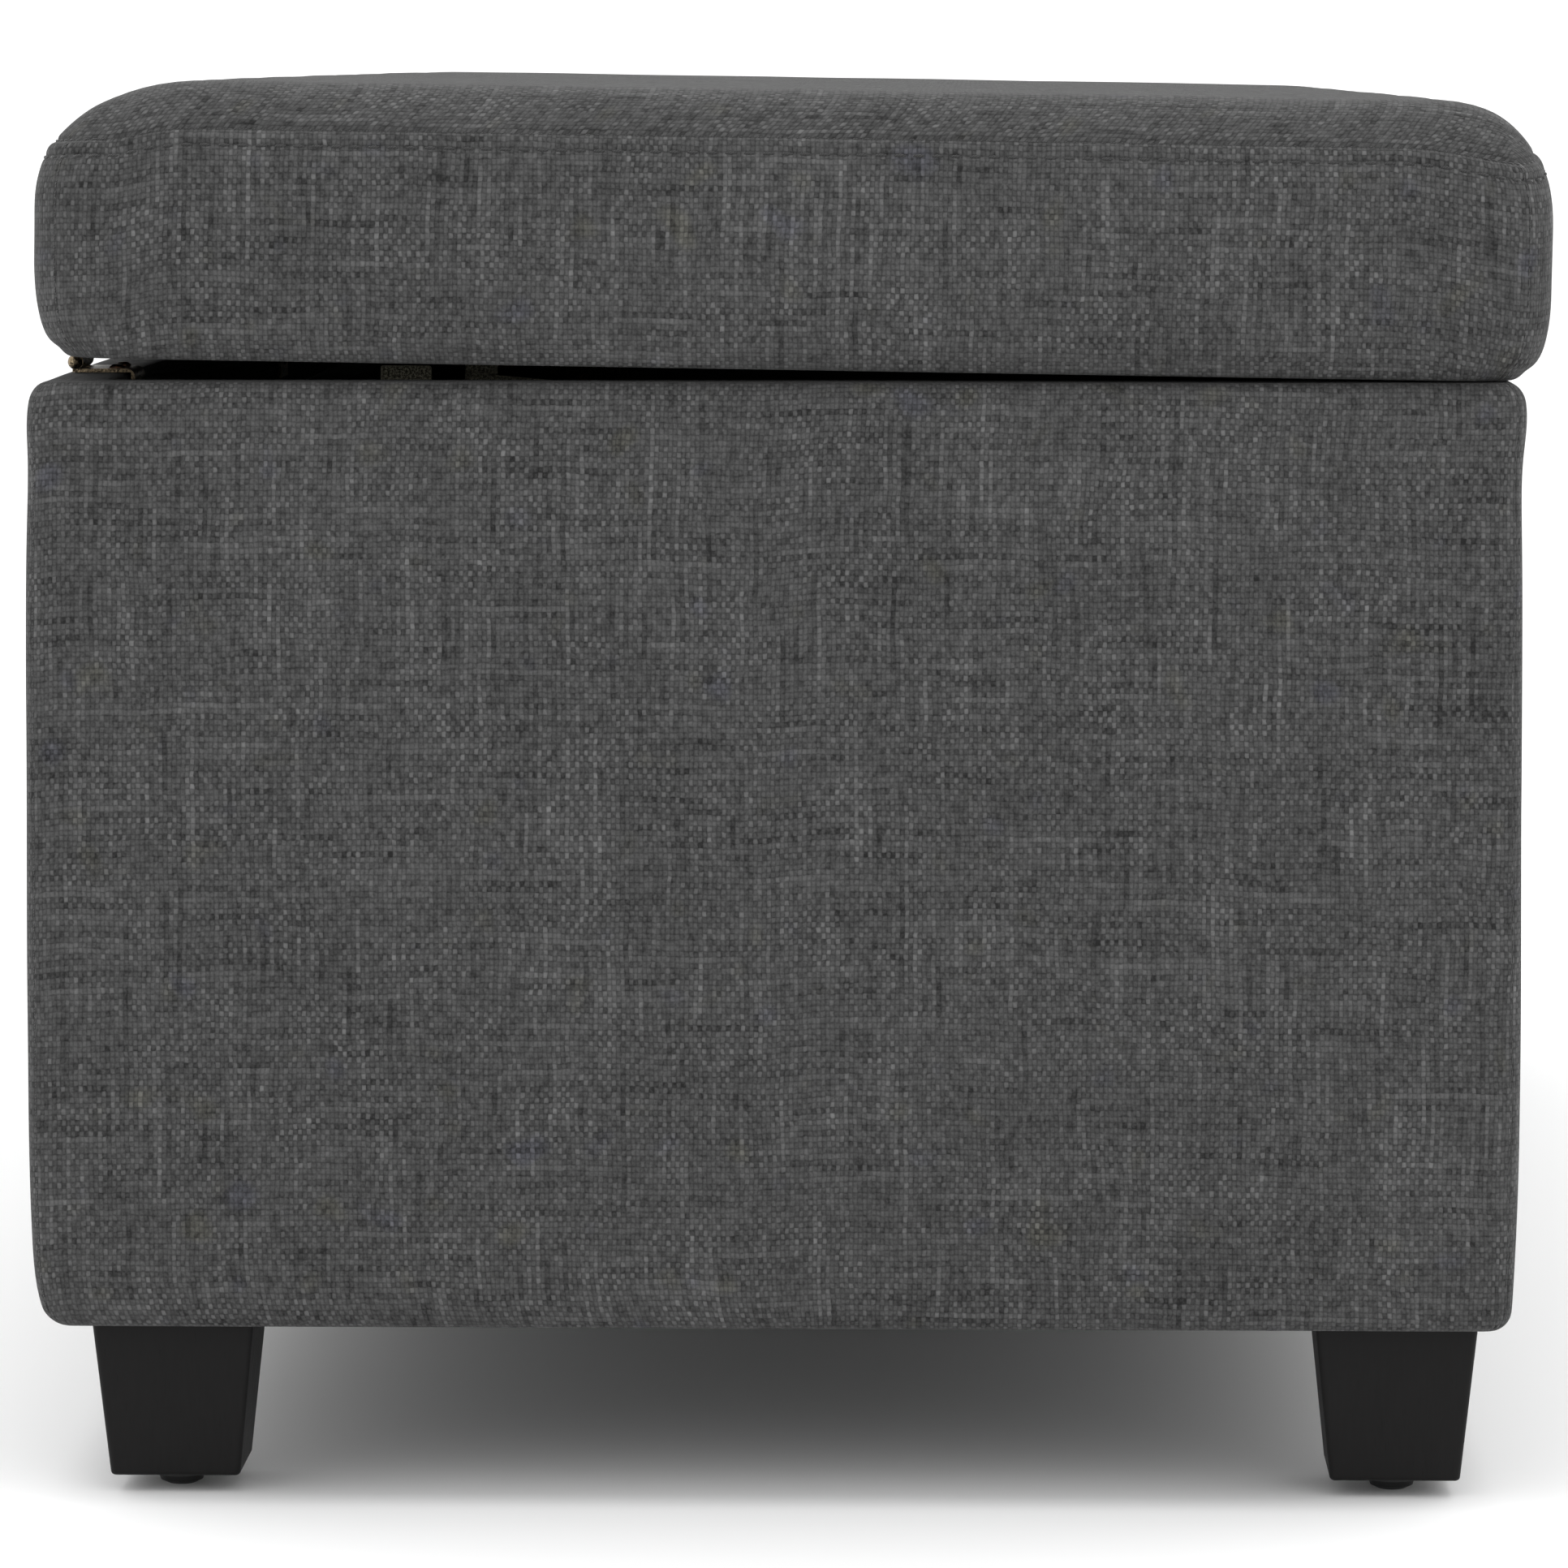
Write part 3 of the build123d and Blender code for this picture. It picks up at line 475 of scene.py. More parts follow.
def lining():
    """Thin black twill, with painted shade in its grooves and creases."""
    n = Nodes("black_lining_twill")
    place = n.cloth_place()
    u, v, _ = n.split(place)
    rib = n.math("SINE", n.times(n.add(u, v), 2 * math.pi / TWILL_PITCH))
    crease = n.noise(place, 30, 3)
    # Painted shade: the twill's grooves and the cloth's creases are darker, and the rib tops lighter.
    tone = n.span(rib, -1, 1, 0.016, 0.034)
    tone = n.add(tone, n.span(crease, 0.3, 0.7, -0.005, 0.006))
    n.bump(n.add(rib, n.times(crease, 2.0)), 0.12 * MM, 0.6)
    return n.finish(n.join(tone, tone, n.times(tone, 1.07)), 0.78, Sheen_Weight=0.2)


def nonwoven():
    """Spunbond cloth: black, with a faint grid of bonding points."""
    n = Nodes("black_nonwoven")
    place = n.cloth_place()
    dots = n.voronoi(place, 420)
    fibre = n.noise(place, 900, 4, 0.7)
    tone = n.span(fibre, 0.3, 0.7, 0.013, 0.032)
    tone = n.add(tone, n.span(dots, 0.1, 0.5, 0.0, 0.006))
    n.bump(n.add(fibre, dots), 0.1 * MM, 0.7)
    return n.finish(n.join(tone, tone, tone), 0.9, Specular_IOR_Level=0.2)


def thread():
    """Charcoal sewing thread, two plies twisted, with painted shade between the plies."""
    n = Nodes("charcoal_thread")
    place = n.object_place()
    x, y, z = n.split(place)
    run = n.add(n.add(x, y), z)
    twist = n.math("SINE", n.times(run, 2 * math.pi / THREAD_TWIST))
    # Painted shade: darker in the grooves between the plies, lighter on their crowns.
    tone = n.span(twist, -1, 1, 0.005, 0.018)
    n.bump(twist, 0.08 * MM, 0.6)
    return n.finish(n.join(tone, tone, tone), 0.7, Sheen_Weight=0.2)


def stained_wood():
    """Near-black satin stain over a fine straight grain."""
    n = Nodes("black_stained_wood")
    grain_place = n.stretched(700.0, 700.0, 38.0)
    grain = n.noise(grain_place, 1.0, 5, 0.65)
    pores = n.span(n.noise(grain_place, 2.6, 3, 0.6), 0.62, 0.72)
    tone = n.span(grain, 0.3, 0.7, 0.003, 0.0056)
    tone = n.math("SUBTRACT", tone, n.times(pores, 0.002))
    n.bump(n.math("SUBTRACT", grain, pores), 0.12 * MM, 0.35)
    shade = n.join(n.times(tone, 1.06), tone, tone)
    return n.finish(shade, n.span(grain, 0.3, 0.7, 0.46, 0.58), Specular_IOR_Level=0.16)


def raw_wood(name, light, dark, across, along):
    """Unfinished board or batten, with its grain along X."""
    n = Nodes(name)
    height = n.split(n.object_place())[2]
    grain = n.noise(n.stretched(along, across, across), 1.0, 6, 0.6)
    bands = n.math("SINE", n.times(n.add(grain, n.times(height, 40.0)), 38.0))
    pick = n.add(n.times(grain, 0.6), n.span(bands, -1, 1, 0.0, 0.4))
    n.bump(grain, 0.25 * MM, 0.4)
    return n.finish(n.mix(pick, light, dark), n.span(grain, 0.3, 0.7, 0.55, 0.75))


def metal(name, bright, dull, scale, roughness, wear):
    """Plated or rubbed metal: two tones broken up by fine speckle. More wear shows less bright."""
    n = Nodes(name)
    place = n.object_place()
    speckle = n.noise(place, scale, 4, 0.7)
    fine = n.noise(place, scale * 4, 2, 0.6)
    pick = n.span(n.add(speckle, n.times(fine, 0.25)), wear, wear + 0.2)
    n.bump(n.add(speckle, n.times(fine, 0.4)), 0.12 * MM, 0.5)
    rough = n.span(speckle, 0.3, 0.7, roughness, roughness + 0.18)
    return n.finish(n.mix(pick, dull, bright), rough, Metallic=1.0)


def black_plastic():
    """Moulded plastic with a fine spark texture."""
    n = Nodes("black_moulded_plastic")
    place = n.object_place()
    grain = n.noise(place, 2600, 3, 0.6)
    tone = n.span(grain, 0.3, 0.7, 0.007, 0.013)
    n.bump(grain, 0.06 * MM, 0.5)
    return n.finish(n.join(tone, tone, tone), n.span(grain, 0.3, 0.7, 0.42, 0.6))


def soft_fill(name, tint, scale):
    """Foam cells or wadding fibres."""
    n = Nodes(name)
    place = n.object_place()
    cells = n.voronoi(place, scale)
    fluff = n.noise(place, scale * 0.4, 4, 0.7)
    n.bump(n.add(cells, fluff), 0.6 * MM, 0.8)
    dark = tuple(0.72 * c for c in tint)
    return n.finish(n.mix(n.span(fluff, 0.3, 0.7), dark, tint), 0.95, Specular_IOR_Level=0.1)


MATERIALS = {
    "upholstery_fabric": linen(),
    "lining_cloth": lining(),
    "nonwoven_cloth": nonwoven(),
    "thread": thread(),
    "stained_wood": stained_wood(),
    "plywood": raw_wood("birch_plywood", (0.60, 0.44, 0.27), (0.46, 0.31, 0.17), 120.0, 6.0),
    "pine": raw_wood("raw_pine", (0.66, 0.47, 0.27), (0.50, 0.30, 0.14), 90.0, 4.0),
    "black_plastic": black_plastic(),
    "antique_brass": metal(
        "antique_brass", (0.41, 0.32, 0.205), (0.035, 0.028, 0.020), 1300, 0.22, 0.56,
    ),
    "bronze_screw_steel": metal(
        "bronzed_screws", (0.22, 0.11, 0.06), (0.035, 0.022, 0.018), 900, 0.3, 0.55,
    ),
    "spring_steel": metal(
        "spring_steel", (0.17, 0.15, 0.10), (0.02, 0.018, 0.013), 1100, 0.3, 0.52,
    ),
    "stay_steel": metal(
        "stay_steel", (0.105, 0.10, 0.075), (0.008, 0.0075, 0.006), 1400, 0.42, 0.57,
    ),
    "zinc_steel": metal("zinc_plate", (0.72, 0.72, 0.70), (0.42, 0.43, 0.45), 300, 0.28, 0.5),
    "foam": soft_fill("polyurethane_foam", (0.78, 0.70, 0.46), 900),
    "polyester_wadding": soft_fill("polyester_wadding", (0.82, 0.82, 0.80), 260),
}


def paint(obj, slot_name, material=None):
    """Gives a piece its material: the one named, else the one its slot name names."""
    obj.data.materials.clear()
    obj.data.materials.append(MATERIALS[material or slot_name])


# Lid cover

LID_PLAN_ROWS = edge_rows(SEAM_INSET, LID_CORNER_R, 0.75 * MM)


def side_edge(y):
    """The back's rounded edge behind the middle line, the front's before it."""
    return BACK_EDGE if y > 0 else FRONT_EDGE


def side_inset(p, y):
    """A row's true distance from the front or the back, from its nominal inset."""
    extra = (BACK_SEAM_INSET - SEAM_INSET) * (LID_CORNER_R - p) / (LID_CORNER_R - SEAM_INSET)
    return p + extra * (y > 0) * (p < LID_CORNER_R)


def fall(distance, edge):
    """How far a rounded edge lies below the flat top."""
    return edge[1] * superellipse((edge[0] - distance) / edge[0], edge[2])


def corner_sag(dx, dy, y):
    """The extra pull-down at the front corners."""
    near = max(0, 1 - dx / SAG_REACH) ** 2, max(0, 1 - dy / SAG_REACH) ** 2
    return CORNER_SAG * near[0] * near[1] * (y < 0)


def top_point(x, y):
    """A point of the top panel from its place on a square-cornered plan."""
    half_x, half_y, r = LID_LENGTH / 2, LID_DEPTH / 2, LID_CORNER_R
    px, py = half_x - abs(x), half_y - abs(y)
    sx, sy = math.copysign(1, x), math.copysign(1, y)
    edge = side_edge(y)
    if px < r and py < r:
        a, b = (r - px) / r, (r - py) / r
        m = max(a, b)
        angle = math.pi / 4 * b / a if a >= b else math.pi / 2 - math.pi / 4 * a / b
        p = r * (1 - m)
        dy = side_inset(p, y)
        px = r - math.cos(angle) * (r - p)
        py = r - math.sin(angle) * (r - dy)
        share = math.sin(angle) ** 2
        drop = (1 - share) * (fall(p, END_EDGE) + fall(r, edge))
        drop += share * (fall(dy, edge) + fall(r, END_EDGE))
    else:
        py = side_inset(py, y)
        drop = fall(px, END_EDGE) + fall(py, edge)
    drop += corner_sag(px, py, y)
    crown = CROWN * (1 - (x / half_x) ** 2) * (1 - (y / half_y) ** 2)
    return (sx * (half_x - px), LID_MID_Y + sy * (half_y - py), LID_TOP - drop + crown)


def top_panel():
    """The top panel's grid of points."""
    lines = []
    for half in (LID_LENGTH / 2, LID_DEPTH / 2):
        inner = even(-(half - LID_CORNER_R), half - LID_CORNER_R, 10 * MM)
        low = [-(half - p) for p in LID_PLAN_ROWS]
        lines.append(low + inner + [-v for v in reversed(low)])
    return np.array([[top_point(x, y) for y in lines[1]] for x in lines[0]])


def boundary(grid):
    """Grid indices once round the edge, seen from above anticlockwise from the +X -Y corner."""
    rows, cols = grid.shape[:2]
    ring = [(rows - 1, j) for j in range(cols - 1)]
    ring += [(i, cols - 1) for i in range(rows - 1, 0, -1)]
    ring += [(0, j) for j in range(cols - 1, 0, -1)]
    ring += [(i, 0) for i in range(rows - 1)]
    return ring


def corner_fans(grid, ring):
    """For each boundary point: (x, y) of its corner's centre or side line, and its way out."""
    facts = []
    cx, cy = LID_LENGTH / 2 - LID_CORNER_R, LID_DEPTH / 2 - LID_CORNER_R
    for i, j in ring:
        x, y, _ = grid[i, j]
        y -= LID_MID_Y
        ox, oy = max(abs(x) - cx, 0), max(abs(y) - cy, 0)
        rx = LID_CORNER_R - SEAM_INSET
        ry = LID_CORNER_R - side_inset(SEAM_INSET, y)
        angle = math.atan2(oy / ry, ox / rx)
        facts.append((
            math.copysign(min(abs(x), cx), x), math.copysign(min(abs(y), cy), y),
            math.copysign(math.cos(angle), x) if ox > 0 else 0.0,
            math.copysign(math.sin(angle), y) if oy > 0 else 0.0,
        ))
    return np.array(facts)


def band_rings(grid, ring, facts):
    """The side band's rings from the seam down to the turned-under edge."""
    seam = np.array([grid[i, j] for i, j in ring])
    share = facts[:, 3] ** 2
    back = facts[:, 1] > 0
    width, height, power = (
        end * (1 - share) + np.where(back, behind, before) * share
        for end, behind, before in zip(END_EDGE, BACK_EDGE, FRONT_EDGE)
    )
    tall = np.where(back, LOWER_HEIGHTS["back"], LOWER_HEIGHTS["front"])
    drop = LID_TOP - seam[:, 2]
    seam_dy = np.where(back, BACK_SEAM_INSET, SEAM_INSET)
    at_seam = width * superellipse((height - drop) / height, power)
    last = SEAM_ROWS[-1] * MM
    span = LID_HIGH - drop
    offsets = [np.full(len(ring), v * MM) for v in SEAM_ROWS]
    offsets += [last + (span - last) * v for v in BAND_ROWS]
    rings = []
    for offset in offsets:
        d = drop + offset
        upper = width * superellipse((height - d) / height, power) / at_seam
        above = np.clip(LID_HIGH - d, 0, None)
        lower = LOWER_WIDTH * superellipse(1 - above / tall, LOWER_POWER)
        insets = SEAM_INSET * upper + lower, seam_dy * upper + lower
        rings.append(plan_ring(facts, *insets, LID_TOP - d))
    return rings


def plan_ring(facts, inset_x, inset_y, z):
    """A ring of the lid at its insets and heights."""
    x = facts[:, 0] + facts[:, 2] * (LID_CORNER_R - inset_x)
    y = facts[:, 1] + facts[:, 3] * (LID_CORNER_R - inset_y)
    return np.stack([x, LID_MID_Y + y, np.broadcast_to(z, x.shape)], 1)


def under_rings(facts):
    """The cover's turned-under margin and its raw edge, which goes up into the board."""
    rings = []
    for inset, lift in MARGIN_ROWS:
        d = min(inset, LID_CORNER_R / MM - 1.0) * MM
        ring = plan_ring(facts, d, d, LID_UNDER + lift * MM)
        extra = max(0, inset * MM - d)
        ring[:, 0] *= 1 - extra / (LID_LENGTH / 2)
        ring[:, 1] = LID_MID_Y + (ring[:, 1] - LID_MID_Y) * (1 - extra / (LID_DEPTH / 2))
        rings.append(ring)
    return rings


def ladder(loop):
    """Closes a convex loop with a ladder of quads, a triangle at each end."""
    count = len(loop)
    middle = count // 2
    rungs = [(loop[0], loop[1], loop[-1])]
    for k in range(1, middle - 1):
        rungs.append((loop[k], loop[k + 1], loop[count - k - 1], loop[count - k]))
    return rungs + [(loop[middle - 1], loop[middle], loop[middle + 1])]


def lid_cover():
    """The sewn cover: top panel, seam, side band, and the margin turned under the board."""
    grid = top_panel()
    rows, cols = grid.shape[:2]
    ring = boundary(grid)
    facts = corner_fans(grid, ring)
    rings = band_rings(grid, ring, facts) + under_rings(facts)
    verts = list(grid.reshape(-1, 3))
    faces, uv = [], []
    along_x, along_y = running(grid), running(grid, 1)
    for i in range(rows - 1):
        for j in range(cols - 1):
            corners = ((i, j), (i + 1, j), (i + 1, j + 1), (i, j + 1))
            faces.append(tuple(a * cols + b for a, b in corners))
            uv += [(along_x[c], along_y[c]) for c in corners]
    all_rings = [np.array([grid[c] for c in ring])] + rings
    start = len(verts)
    count = len(ring)
    index = [[i * cols + j for i, j in ring]]
    for k, r in enumerate(rings):
        verts += list(r)
        index.append([start + k * count + i for i in range(count)])
    along = running(closed(list(all_rings[MEASURED_ROW])))
    down = running(all_rings)
    for k, i, j in quads(len(rings), count):
        faces.append((index[k][i], index[k + 1][i], index[k + 1][j], index[k][j]))
        uv += [
            (along[i], -down[k][i]), (along[i], -down[k + 1][i]),
            (along[i + 1], -down[k + 1][j]), (along[i + 1], -down[k][j]),
        ]
    for face in ladder(index[-1]):
        faces.append(face)
        uv += [(verts[i][0], verts[i][1]) for i in face]
    obj = new_object("lid_padded_cover", verts, faces)
    set_uv(obj, uv)
    return obj, index, facts


def vectors_of(items, name):
    """One vector of each item, as an array."""
    flat = np.zeros(len(items) * 3, np.float32)
    items.foreach_get(name, flat)
    return flat.reshape(-1, 3).astype(float)


def outward(obj):
    return vectors_of(obj.data.vertex_normals, "vector")


def get_points(obj):
    return vectors_of(obj.data.vertices, "co")


def put_points(obj, points):
    obj.data.vertices.foreach_set("co", np.asarray(points, np.float32).ravel())
    obj.data.update()


def dress_lid(obj, index, facts):
    """Works the padding's swell, the seams and the raised strip between them into the cover."""
    points, normals = get_points(obj), outward(obj)
    swell = LID_SWELL["back"] * np.clip(normals[:, 1], 0, None) ** 2
    swell += LID_SWELL["front"] * np.clip(-normals[:, 1], 0, None) ** 2
    swell += LID_SWELL["ends"] * normals[:, 0] ** 2
    under_seam = (LID_TOP - points[:, 2] - FULL_DEPTH) / FULL_REACH
    swell += SEAM_FULLNESS * np.exp(-under_seam**2) * normals[:, 1] ** 2
    uneven = 0.3 * MM * wobble(points, 0.055, 3) + 0.1 * MM * wobble(points, 0.018, 5)
    push = swell + uneven
    push[points[:, 2] < LID_UNDER + 4 * MM] = 0
    bent = (np.abs(facts[:, 2]) > 0.02) & (np.abs(facts[:, 3]) > 0.02)
    push[index[0]] -= np.where(bent, SEAM_PULL_CORNER, SEAM_PULL)
    push[index[1]] -= UNDER_SEAM_PULL
    push[index[2] + index[3]] += STRIP_RISE
    push[index[STITCH_ROW]] -= STITCH_PULL
    corner = diagonal(facts[:, 2:])
    for row in index[1:CORNER_SEAM_END]:
        push[np.array(row)[corner]] -= CORNER_PULL
    put_points(obj, points + normals * push[:, None])


def limit(vectors, most):
    """Shortens every vector that is longer than the most it may be."""
    length = np.linalg.norm(vectors, axis=1, keepdims=True)
    return vectors * np.minimum(1, most / np.maximum(length, 1e-9))


def settle(obj, held, voxel=9 * MM, frames=20, most=6 * MM, kept=0.8 * MM):
    """Swells a coarse cage of the cushion as pressed cloth, and carries its movement over."""
    cage = bpy.data.objects.new("cage", obj.data.copy())
    scene = bpy.context.scene
    scene.collection.objects.link(cage)
    remesh = cage.modifiers.new("remesh", "REMESH")
    remesh.mode = "VOXEL"
    remesh.voxel_size = voxel
    graph = bpy.context.evaluated_depsgraph_get()
    cage.data = bpy.data.meshes.new_from_object(cage.evaluated_get(graph))
    cage.modifiers.clear()
    start = get_points(cage)
    group = cage.vertex_groups.new(name="held")
    group.add([int(i) for i in np.nonzero(held(start))[0]], 1.0, "REPLACE")
    cloth = cage.modifiers.new("cloth", "CLOTH")
    cloth.settings.quality = 4
    cloth.settings.mass = 0.4
    cloth.settings.tension_stiffness = 40
    cloth.settings.compression_stiffness = 40
    cloth.settings.bending_stiffness = 2
    cloth.settings.vertex_group_mass = "held"
    cloth.settings.use_pressure = True
    cloth.settings.uniform_pressure_force = 4
    cloth.settings.effector_weights.gravity = 0
    cloth.collision_settings.use_collision = False
    for number in range(1, frames + 1):
        scene.frame_set(number)
    graph = bpy.context.evaluated_depsgraph_get()
    end = get_points(cage.evaluated_get(graph))
    scene.frame_set(1)
    move = limit(end - start, most)
    bpy.data.objects.remove(cage)
    neighbours = 24
    tree = kdtree.KDTree(len(start))
    for i, p in enumerate(start):
        tree.insert(p, i)
    tree.balance()
    points, normals = get_points(obj), outward(obj)
    carried = np.zeros(len(points))
    for i, p in enumerate(points):
        near = tree.find_n(p, neighbours)
        weights = np.array([1 / (d + 6 * MM) ** 2 for _, _, d in near])
        along = move[[j for _, j, _ in near]] @ normals[i]
        carried[i] = (along * weights).sum() / weights.sum()
    free = ~held(points)
    carried[free] -= np.median(carried[free])
    carried[~free] = 0
    put_points(obj, points + normals * (kept * np.tanh(carried / (3 * kept)))[:, None])


def stitch_rows(name, cloth, rows, pitch, length, radius):
    """Stitches along rows of a cloth's points, each end pulled into the cloth."""
    points, normals = get_points(cloth), outward(cloth)
    verts, faces = [], []
    for row in rows:
        add_stitches(verts, faces, points[row], normals[row], pitch, length, radius)
    return new_object(name, verts, faces)


def smooth(obj):
    """One level of subdivision, applied."""
    subdivide = obj.modifiers.new("smooth", "SUBSURF")
    subdivide.levels = subdivide.render_levels = 1
    graph = bpy.context.evaluated_depsgraph_get()
    obj.data = bpy.data.meshes.new_from_object(obj.evaluated_get(graph))
    obj.modifiers.clear()


def add_stitches(verts, faces, line, normals, pitch, length, radius):
    """Adds one row of stitches to a mesh in the making."""
    along = running(line)
    count = round(along[-1] / pitch)
    sides = 6
    profile = (
        (-0.5, 0.4, -0.8), (-0.4, 0.85, 0.3), (0.0, 1.0, 0.75), (0.4, 0.85, 0.3), (0.5, 0.4, -0.8),
    )
    for s in range(count):
        middle = (s + 0.5) * along[-1] / count
        base = len(verts)
        rings = []
        for offset, fat, lift in profile:
            t = middle + offset * length
            at = np.array([np.interp(t, along, line[:, k]) for k in range(3)])
            up = np.array([np.interp(t, along, normals[:, k]) for k in range(3)])
            rings.append((at, up / np.linalg.norm(up), fat, lift))
        run = rings[-1][0] - rings[0][0]
        run /= np.linalg.norm(run)
        for at, up, fat, lift in rings:
            side = np.cross(run, up)
            for q in range(sides):
                turn = 2 * math.pi * q / sides
                rise = radius * lift + radius * fat * 0.8 * math.sin(turn)
                verts.append(at + up * rise + side * radius * fat * math.cos(turn))
        faces += rod_faces(base, len(profile), sides)


def corner_columns(index, facts):
    """The lines of points down the middle of each rounded corner, below the seam."""
    corner = np.nonzero(diagonal(facts[:, 2:]))[0]
    return [[row[c] for row in index[1:CORNER_SEAM_END + 1]] for c in corner]


cover, cover_index, cover_facts = lid_cover()
settle(cover, lambda p: p[:, 2] < LID_UNDER + 6 * MM)
dress_lid(cover, cover_index, cover_facts)
stitches = stitch_rows(
    "lid_topstitch", cover, [closed(cover_index[STITCH_ROW])],
    STITCH_PITCH, STITCH_LENGTH, 0.62 * MM,
)
# Painted shade: a dark thread tube laid along the top seam's groove stands for the dark of that crevice.
seam_shade_line = stitch_rows(
    "lid_seam_painted_shade", cover, [closed(cover_index[0])], 3 * MM, 2.9 * MM, 0.42 * MM,
)
corner_stitches = stitch_rows(
    "lid_corner_seams", cover, corner_columns(cover_index, cover_facts),
    3.4 * MM, 2.6 * MM, 0.3 * MM,
)
paint(cover, "upholstery_fabric")
smooth(cover)
# The charcoal thread finish also colours the top seam's painted shade line.
for piece in (stitches, corner_stitches, seam_shade_line):
    paint(piece, "upholstery_fabric", "thread")
for piece in (cover, stitches, corner_stitches, seam_shade_line):
    lean(piece)
    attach(piece, "lid")
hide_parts("lid_cover", "lid_foam", "lid_wadding")


# Base cover

# The rows of the section that belong to its outer face, the rim's roll included
OUTER_FIRST = len(UNDER_ROWS) + ROLL_STEPS
OUTER_LAST = OUTER_FIRST + len(WALL_HEIGHTS) + ROLL_STEPS


def base_profile():
    """(inset, height) once round the padded wall's section, from under the base up the outside."""
    rows = [(inset * MM, BASE_BOTTOM + lift * MM) for inset, lift in UNDER_ROWS]
    quarter = [math.radians(90 / ROLL_STEPS * step) for step in range(1, ROLL_STEPS + 1)]
    for a in quarter:
        up = BOTTOM_ROLL * (1 - math.cos(a))
        rows.append((BOTTOM_ROLL * (1 - math.sin(a)), BASE_BOTTOM + up))
    rows += [(0.0, BASE_BOTTOM + z * MM) for z in WALL_HEIGHTS]
    for a in quarter:
        down = RIM_ROLL_DOWN * (1 - math.sin(a))
        rows.append((RIM_ROLL_IN * (1 - math.cos(a)), RIM - down))
    rows += [(inset * MM, RIM) for inset in RIM_INSETS]
    for step in range(1, INNER_STEPS + 1):
        a = math.radians(90 / INNER_STEPS * step)
        turned = RIM_INSETS[-1] * MM + INNER_ROLL * math.sin(a)
        rows.append((turned, RIM - INNER_ROLL * (1 - math.cos(a))))
    inner = WALL + 0.9 * MM
    behind = WALL - 1 * MM
    rows += [(inner, RIM - z * MM) for z in TURNED_IN_DEPTHS]
    rows += [(inner - 0.25 * MM, RIM - TURN_IN), (behind, RIM - TURN_IN), (behind, 200 * MM)]
    rows += [(behind, BASE_BOTTOM + 3 * MM), (UNDER_ROWS[0][0] * MM, BASE_BOTTOM + 3 * MM)]
    return rows


def pad_swell(z):
    """The wall's soft shape: a bulge under the rim, a slight hollow below it, a level middle."""
    below = (RIM - z) / MM
    bulge = 0.6 * math.exp(-(((below - 14) / 8) ** 2))
    hollow = -0.35 * math.exp(-(((below - 32) / 16) ** 2))
    belly = 0.8 * math.exp(-(((z / MM - 150) / 85) ** 2))
    taper = -1.5 * max(0, 1 - (z - BASE_BOTTOM) / (55 * MM)) ** 2
    above = (z - BASE_BOTTOM) / MM
    full = 0.35 * min(1, max(0, (below - 35) / 40)) * min(1, max(0, above / 60))
    return (bulge + hollow + belly + taper + full) * MM


def back_roll(inset, z):
    """How much further in the back's bottom edge rolls than the front's."""
    low = max(0, 1 - (z - BASE_BOTTOM) / (18 * MM))
    return 3.4 * MM * low**1.7 * min(1, max(0, (15 * MM - inset) / (7 * MM)))


def base_cover():
    """The padded, covered walls, closed through the wall's thickness."""
    angles = [math.radians(a) for a in BASE_ANGLES]
    outline = Outline(BASE_HALF_X, BASE_HALF_Y, BASE_CORNER_R, angles, 12 * MM)
    rings = []
    for inset, z in base_profile():
        padded = inset < 9 * MM
        ring = outline.ring(inset - pad_swell(z) * padded)
        forward = RIM_FORWARD * math.exp(-(((RIM - z) / RIM_FORWARD_REACH) ** 2)) * padded
        y = ring[:, 1] + BASE_MID_Y - forward - back_roll(inset, z) * (ring[:, 1] > 0)
        rings.append(np.column_stack([ring[:, 0], y, np.full(len(ring), z)]))
    obj = new_object("base_padded_cover", np.concatenate(rings), loft(rings))
    set_uv(obj, ring_uv(rings))
    return obj, outline


def dress_base(obj, outline):
    """Unevenness of the padding, and the blind-stitched corner seams."""
    points, normals = get_points(obj), outward(obj)
    count = len(outline.place)
    outside = points[:, 2] > BASE_BOTTOM + 2 * MM
    push = (0.2 * MM * wobble(points, 0.075, 8) + 0.08 * MM * wobble(points, 0.02, 9)) * outside
    corner = diagonal(outline.out)
    for k in range(OUTER_FIRST, OUTER_LAST):
        push[k * count:(k + 1) * count][corner] -= CORNER_PULL
    push[(OUTER_LAST + 4) * count:] *= 0.1
    put_points(obj, points + normals * push[:, None])


walls, wall_outline = base_cover()
dress_base(walls, wall_outline)
paint(walls, "upholstery_fabric")
columns = [
    [k * len(wall_outline.place) + c for k in range(OUTER_FIRST - 2, OUTER_LAST - 1)]
    for c in np.nonzero(diagonal(wall_outline.out))[0]
]
wall_seams = stitch_rows("base_corner_seams", walls, columns, 4.5 * MM, 3.6 * MM, 0.28 * MM)
paint(wall_seams, "upholstery_fabric", "thread")
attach(wall_seams, "base")
smooth(walls)
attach(walls, "base")
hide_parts("base_cover", "front_foam", "back_foam", "left_foam", "right_foam")


# Sheets

